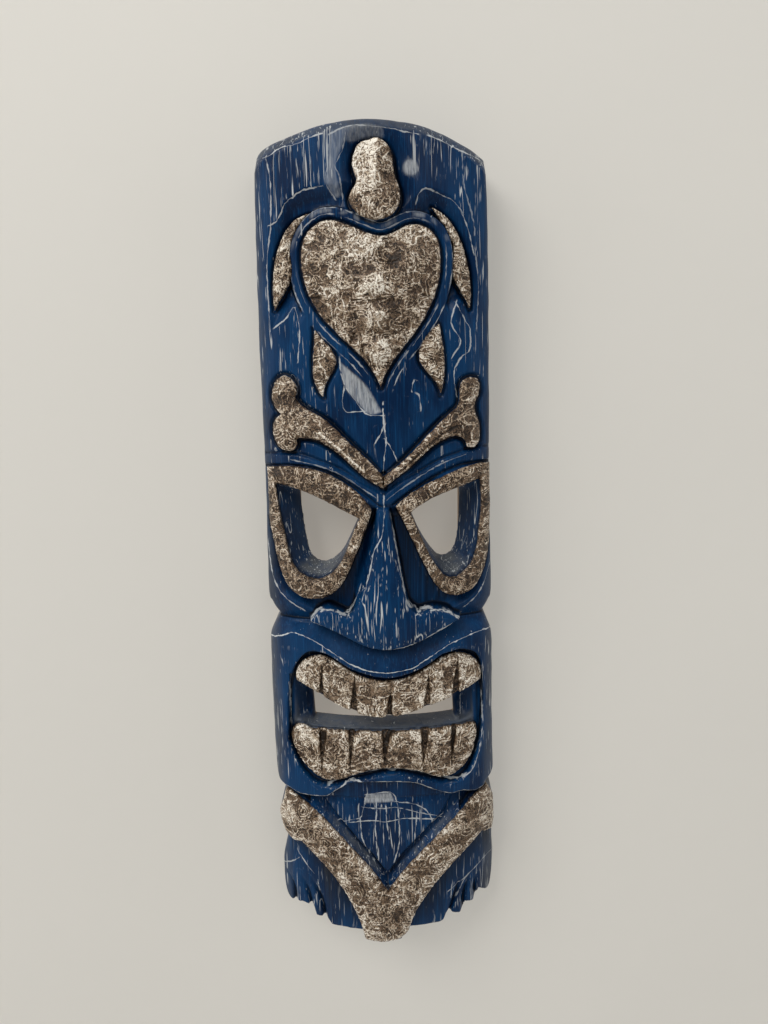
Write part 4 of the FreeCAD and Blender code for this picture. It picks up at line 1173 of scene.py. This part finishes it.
class Nodes:
    """Short ways to add shader nodes to a material."""

    def __init__(self, name):
        self.material = bpy.data.materials.new(name)
        self.material.use_nodes = True
        self.tree = self.material.node_tree
        self.tree.nodes.clear()

    def add(self, kind, **settings):
        node = self.tree.nodes.new(kind)
        for key, value in settings.items():
            setattr(node, key, value)
        return node

    def link(self, source, target):
        self.tree.links.new(source, target)

    def put(self, value, target):
        if isinstance(value, bpy.types.NodeSocket):
            self.link(value, target)
        else:
            target.default_value = value

    def attribute(self, name):
        return self.add("ShaderNodeAttribute", attribute_name=name).outputs["Fac"]

    def stretched(self, scale):
        """Object coordinates in units of 1 / scale metres along each axis."""
        coordinates_node = self.add("ShaderNodeTexCoord")
        mapping = self.add("ShaderNodeMapping")
        mapping.inputs["Scale"].default_value = scale
        self.link(coordinates_node.outputs["Object"], mapping.inputs["Vector"])
        return mapping.outputs["Vector"]

    def noise(self, scale, detail=2.0, roughness=0.5, distortion=0.0):
        node = self.add("ShaderNodeTexNoise")
        self.link(self.stretched(scale), node.inputs["Vector"])
        node.inputs["Scale"].default_value = 1.0
        node.inputs["Detail"].default_value = detail
        node.inputs["Roughness"].default_value = roughness
        node.inputs["Distortion"].default_value = distortion
        return node.outputs["Fac"]

    def math(self, operation, a, b=0.0, clamp=False):
        node = self.add("ShaderNodeMath", operation=operation, use_clamp=clamp)
        self.put(a, node.inputs[0])
        self.put(b, node.inputs[1])
        return node.outputs[0]

    def plus(self, a, b):
        return self.math("ADD", a, b)

    def minus(self, a, b, clamp=False):
        return self.math("SUBTRACT", a, b, clamp)

    def times(self, a, b, clamp=False):
        return self.math("MULTIPLY", a, b, clamp)

    def larger(self, a, b):
        return self.math("MAXIMUM", a, b)

    def centred(self, scale, **settings):
        """Noise about zero."""
        return self.minus(self.noise(scale, **settings), 0.5)

    def between(self, value, low, high, to_low=0.0, to_high=1.0):
        """A smooth remap of value from low..high."""
        node = self.add("ShaderNodeMapRange", interpolation_type="SMOOTHSTEP")
        self.put(value, node.inputs["Value"])
        node.inputs["From Min"].default_value = low
        node.inputs["From Max"].default_value = high
        node.inputs["To Min"].default_value = to_low
        node.inputs["To Max"].default_value = to_high
        return node.outputs["Result"]

    def mix(self, factor, a, b):
        node = self.add("ShaderNodeMix", data_type="RGBA")
        self.put(factor, node.inputs[0])
        self.put(a, node.inputs[6])
        self.put(b, node.inputs[7])
        return node.outputs[2]

    def ramp(self, value, stops):
        """Colours along a value, from a list of (place, colour)."""
        node = self.add("ShaderNodeValToRGB")
        self.link(value, node.inputs["Fac"])
        elements = node.color_ramp.elements
        for index, (place, colour) in enumerate(stops):
            element = elements[index] if index < 2 else elements.new(place)
            element.position = place
            element.color = colour
        return node.outputs["Color"]

    def contours(self, scale, width, detail=1.0, distortion=0.0):
        """Thin wandering lines, where a stretched noise passes its middle value."""
        away = self.math("ABSOLUTE", self.centred(scale, detail=detail, distortion=distortion))
        return self.between(away, 0.4 * width, width, 1.0, 0.0)

    def bump(self, height, strength, reach, normal=None):
        node = self.add("ShaderNodeBump")
        node.inputs["Strength"].default_value = strength
        node.inputs["Distance"].default_value = reach
        self.link(height, node.inputs["Height"])
        if normal is not None:
            self.link(normal, node.inputs["Normal"])
        return node.outputs["Normal"]

    def finish(self, colour, roughness, normal=None, constants=None):
        shader = self.add("ShaderNodeBsdfPrincipled")
        output = self.add("ShaderNodeOutputMaterial")
        self.put(colour, shader.inputs["Base Color"])
        self.put(roughness, shader.inputs["Roughness"])
        if normal is not None:
            self.link(normal, shader.inputs["Normal"])
        for key, value in (constants or {}).items():
            shader.inputs[key].default_value = value
        self.link(shader.outputs["BSDF"], output.inputs["Surface"])
        return self.material


def worn_lines(n):
    """Thin broken lines of pale ground, drawn from the signed distances on the mesh."""
    wobble = n.times(n.centred((420, 420, 420), detail=2.0), 1.1)
    half = n.between(n.noise((190, 190, 190), detail=1.0), 0.36, 0.66, 0.16, 0.52)
    breaks = n.between(n.noise((150, 150, 150), detail=2.0), 0.30, 0.40)
    lines = 0.0
    for index in range(len(WORN_LAYERS)):
        across = n.minus(n.attribute(f"line_{index}"), 0.5)
        across = n.plus(n.times(across, 2 * LINE_REACH), wobble)
        line = n.minus(half, n.math("ABSOLUTE", across))
        line = n.times(line, 6.0, clamp=True)
        line = n.times(line, n.attribute(f"line_{index}_near"))
        lines = n.larger(lines, line)
    return n.times(lines, breaks)


def scratches(n):
    """Fine upright scratches through the paint, thickest where the crowd attribute says."""
    crowd = n.attribute("grain")
    shown = n.minus(n.noise((210, 150, 30), detail=2.0), 0.76)
    shown = n.plus(shown, n.times(crowd, 0.26))
    shown = n.times(shown, 14.0, clamp=True)
    lines = n.times(n.contours((185, 150, 5), 0.011), shown)
    for scale, start, share, sharp in (
        ((620, 420, 24), 0.735, 0.10, 22.0),
        ((1000, 700, 70), 0.74, 0.11, 16.0),
    ):
        threshold = n.minus(start, n.times(crowd, share))
        dash = n.minus(n.noise(scale, detail=2.0, roughness=0.6), threshold)
        dash = n.times(dash, sharp, clamp=True)
        lines = n.larger(lines, n.times(dash, 0.75))
    return lines


def painted_wood():
    """Blue paint, rubbed to a pale ground in lines and patches, with painted reflections on some
    facets, grey dust with painted sheen, black groove paint with painted shade in creases, and bare
    wood behind.
    """
    n = Nodes("painted_wood")
    black, deep = (0.0010, 0.0028, 0.007, 1), (0.0008, 0.013, 0.048, 1)
    blue, bright = (0.0015, 0.034, 0.106, 1), (0.004, 0.060, 0.170, 1)
    dust_and_sheen_grey, pale = (0.085, 0.094, 0.105, 1), (0.56, 0.58, 0.58, 1)
    patches = n.noise((38, 38, 16), detail=3.0, roughness=0.6)
    grain = n.noise((1300, 500, 42), detail=3.0, roughness=0.65)
    colour = n.mix(n.between(patches, 0.36, 0.66), deep, blue)
    colour = n.mix(n.times(n.between(grain, 0.48, 0.72), 0.6), colour, bright)
    cloud = n.noise((260, 260, 120), detail=3.0)
    # Grey of dust and of a painted sheen of reflected light, where the side attribute says.
    dust_and_sheen = n.times(n.attribute("side"), n.between(cloud, 0.25, 0.6, 0.55, 1.0))
    colour = n.mix(dust_and_sheen, colour, dust_and_sheen_grey)

    brushed = n.noise((900, 600, 140), detail=3.0, roughness=0.6)
    # Pale places: painted reflections on some facets, a round spot and scratches on the shell's
    # rib.
    rubbed = n.times(n.attribute("pale"), n.between(brushed, 0.34, 0.66, 0.35, 0.80))
    dark_paint_and_shade = n.attribute("dark_paint_and_shade")
    light = n.times(scratches(n), n.minus(1.0, dark_paint_and_shade, clamp=True))
    light = n.larger(light, worn_lines(n))
    light = n.larger(light, rubbed)
    # Black groove paint and painted shade in creases, folds and the mouth's end walls.
    colour = n.mix(n.times(dark_paint_and_shade, 0.95), colour, black)
    colour = n.mix(n.times(light, 0.9), colour, pale)

    timber = n.noise((420, 160, 16), detail=4.0, roughness=0.6)
    raw_colour = n.mix(n.between(timber, 0.3, 0.7), (0.20, 0.115, 0.055, 1), (0.46, 0.32, 0.18, 1))
    ragged = n.times(n.centred((90, 90, 60), detail=3.0), 0.5)
    raw = n.between(n.plus(n.attribute("raw"), ragged), 0.35, 0.6)
    colour = n.mix(raw, colour, raw_colour)

    roughness = n.between(patches, 0.3, 0.7, 0.34, 0.48)
    roughness = n.plus(roughness, n.times(light, 0.25))
    height = n.minus(n.times(grain, 0.7), n.times(light, 0.5))
    normal = n.bump(height, 0.4, 0.0005)
    gloss = {"Specular IOR Level": 0.12, "Coat Weight": 0.05, "Coat Roughness": 0.12}
    return n.finish(colour, roughness, normal, gloss)


def textured_skin():
    """Crumpled skin: cream on the ridges, umber in the creases, painted highlights on raised
    places, painted shade in cuts and creases.
    """
    n = Nodes("textured_skin")
    stops = [
        (0.0, (0.014, 0.008, 0.004, 1)), (0.20, (0.078, 0.046, 0.026, 1)),
        (0.46, (0.200, 0.130, 0.077, 1)), (0.70, (0.50, 0.40, 0.29, 1)),
        (1.0, (0.95, 0.89, 0.78, 1)),
    ]
    patches = n.noise((150, 150, 150), detail=3.0, roughness=0.6)
    fibres = n.noise((1600, 1600, 1600), detail=3.0, roughness=0.65)
    creases = n.contours((430, 430, 430), 0.05, detail=2.0, distortion=1.0)
    threads = n.contours((700, 700, 700), 0.05, detail=1.0, distortion=0.6)
    crest = n.between(n.attribute("ridge"), 0.05, 0.85)
    own_tone = n.minus(n.times(n.attribute("tone"), 2.0), 1.0)
    tone = n.plus(n.times(crest, 0.48), own_tone)
    for detail, share in (patches, 0.85), (fibres, 0.55):
        tone = n.plus(tone, n.times(n.minus(detail, 0.5), share))
    tone = n.minus(tone, n.times(creases, 0.55))
    tone = n.plus(tone, n.times(threads, 0.16))
    # Painted highlights on raised places and the spine, and rubbed rims, make the skin paler.
    tone = n.plus(tone, n.times(n.attribute("highlight_and_rub"), 0.30 * LIFT_RANGE))
    # Painted shade in the cuts between teeth and in the right bone's crease.
    tone = n.minus(tone, n.times(n.attribute("cut"), 0.42))
    tone = n.plus(tone, SKIN_TONE)
    colour = n.ramp(tone, stops)
    # Painted shade and black groove paint in the creases.
    colour = n.mix(n.times(n.attribute("dark_paint_and_shade"), 0.8), colour, (0.016, 0.011, 0.008, 1))
    roughness = n.between(fibres, 0.35, 0.65, 0.26, 0.40)
    normal = n.bump(n.plus(tone, fibres), 0.6, 0.0004)
    gloss = {"Specular IOR Level": 0.30, "Coat Weight": 0.12, "Coat Roughness": 0.18}
    return n.finish(colour, roughness, normal, gloss)


def zinc_steel():
    """Dull zinc plating with a few brown stains."""
    n = Nodes("zinc_steel")
    bloom = n.noise((420, 420, 420), detail=3.0, roughness=0.6)
    brushing = n.noise((4000, 900, 500), detail=2.0)
    colour = n.mix(n.between(bloom, 0.35, 0.65), (0.44, 0.45, 0.46, 1), (0.62, 0.62, 0.60, 1))
    stain = n.noise((160, 160, 160), detail=2.0)
    colour = n.mix(n.between(stain, 0.60, 0.75, 0.0, 0.5), colour, (0.22, 0.18, 0.13, 1))
    roughness = n.between(bloom, 0.3, 0.7, 0.28, 0.48)
    normal = n.bump(brushing, 0.2, 0.0002)
    return n.finish(colour, roughness, normal, {"Metallic": 1.0})


# --- building the piece
def assign(piece, material):
    piece.data.materials.clear()
    piece.data.materials.append(material)


PAINT, LEATHERY, STEEL = painted_wood(), textured_skin(), zinc_steel()
assign(build_body(), PAINT)
for node in SKIN_NODES:
    assign(build_skin(node), LEATHERY)
for node in "hanger_strap", "hanger_ring", "hanger_screws":
    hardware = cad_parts[node]
    if not hardware.material_slots:
        hardware.data.materials.append(STEEL)
    for slot in hardware.material_slots:
        slot.material = STEEL


# --- stage, light and camera
def stage_plane(name, corners, material):
    mesh = bpy.data.meshes.new(name)
    mesh.from_pydata(corners, [], [(0, 1, 2, 3)])
    mesh.materials.append(material)
    plane = bpy.data.objects.new(name, mesh)
    bpy.context.scene.collection.objects.link(plane)
    return plane


FLOOR_LEVEL, WALL_TOP, STAGE_HALF = -0.76, 3, 4
WALL_GAP = 0.001
WALL_GLOW = 0.55  # light that the bright room sends back through the wall's own colour


def plain_surface(name, colour, one_sided=False):
    """A faintly mottled surface; a one-sided one cannot be seen from behind."""
    n = Nodes(name)
    mottle = n.noise((2.2, 2.2, 2.2), detail=2.0)
    shade = n.mix(n.between(mottle, 0.3, 0.7), colour, tuple(0.965 * c for c in colour[:3]) + (1,))
    material = n.finish(shade, 0.85)
    if one_sided:
        shader = next(item for item in n.tree.nodes if item.type == "BSDF_PRINCIPLED")
        n.link(shade, shader.inputs["Emission Color"])
        shader.inputs["Emission Strength"].default_value = WALL_GLOW
        output = next(item for item in n.tree.nodes if item.type == "OUTPUT_MATERIAL")
        clear = n.add("ShaderNodeBsdfTransparent")
        choose = n.add("ShaderNodeMixShader")
        side = n.add("ShaderNodeNewGeometry")
        n.link(side.outputs["Backfacing"], choose.inputs[0])
        n.link(shader.outputs["BSDF"], choose.inputs[1])
        n.link(clear.outputs["BSDF"], choose.inputs[2])
        n.link(choose.outputs["Shader"], output.inputs["Surface"])
    return material


SQUARE = [(-STAGE_HALF, -STAGE_HALF), (STAGE_HALF, -STAGE_HALF), (STAGE_HALF, STAGE_HALF),
          (-STAGE_HALF, STAGE_HALF)]
stage_plane(
    "floor",
    [(x, y, FLOOR_LEVEL) for x, y in SQUARE],
    plain_surface("pale_floor", (0.62, 0.60, 0.57, 1)),
)
wall = stage_plane(
    "wall",
    [(x, WALL_GAP, FLOOR_LEVEL if y < 0 else WALL_TOP) for x, y in SQUARE],
    plain_surface("pale_wall", (0.45, 0.435, 0.40, 1), one_sided=True),
)
wall.visible_shadow = False


MIDDLE = (0.0, 0.0, -0.25)  # what every light points at


def area_light(name, place, size, power, colour):
    data = bpy.data.lights.new(name, "AREA")
    data.shape = "RECTANGLE"
    data.size, data.size_y = size
    data.energy = power
    data.color = colour
    light = bpy.data.objects.new(name, data)
    light.location = place
    light.rotation_euler = (Vector(MIDDLE) - Vector(place)).to_track_quat("-Z", "Y").to_euler()
    bpy.context.scene.collection.objects.link(light)


area_light("key", (-0.95, -1.15, 1.05), (1.2, 1.0), 25.0, (1.0, 0.985, 0.96))
area_light("fill", (0.75, -1.4, 0.75), (1.2, 1.0), 6.0, (0.97, 0.985, 1.0))
area_light("ceiling", (0.0, -0.45, 1.5), (1.6, 0.6), 4.0, (1.0, 0.99, 0.97))
area_light("flank_left", (-1.7, -0.7, -0.1), (0.5, 1.4), 5.0, (0.97, 0.98, 1.0))
area_light("flank_right", (1.7, -0.7, -0.1), (0.5, 1.4), 4.0, (0.97, 0.98, 1.0))
area_light("rear", (-0.8, 1.6, 0.8), (1.2, 1.2), 12.0, (1.0, 1.0, 1.0))

world = bpy.data.worlds.new("studio")
bpy.context.scene.world = world
world.use_nodes = True
background = world.node_tree.nodes["Background"]
background.inputs["Color"].default_value = (0.93, 0.95, 1.0, 1)
background.inputs["Strength"].default_value = 0.13
bpy.context.scene.view_settings.view_transform = "Standard"

CAMERA_PITCH, CAMERA_ROLL = 10.5, 1.1  # degrees down, and round the line of sight
CAMERA_PLACE, CAMERA_LENS = (0.0045, -0.48725, -0.14125), 27.03
camera_data = bpy.data.cameras.new("camera")
camera_data.sensor_width = 36.0
camera_data.lens = CAMERA_LENS
camera_data.clip_start = 0.01
camera = bpy.data.objects.new("camera", camera_data)
camera.location = CAMERA_PLACE
camera.rotation_euler = (math.radians(90 - CAMERA_PITCH), math.radians(CAMERA_ROLL), 0)
bpy.context.scene.collection.objects.link(camera)
bpy.context.scene.camera = camera
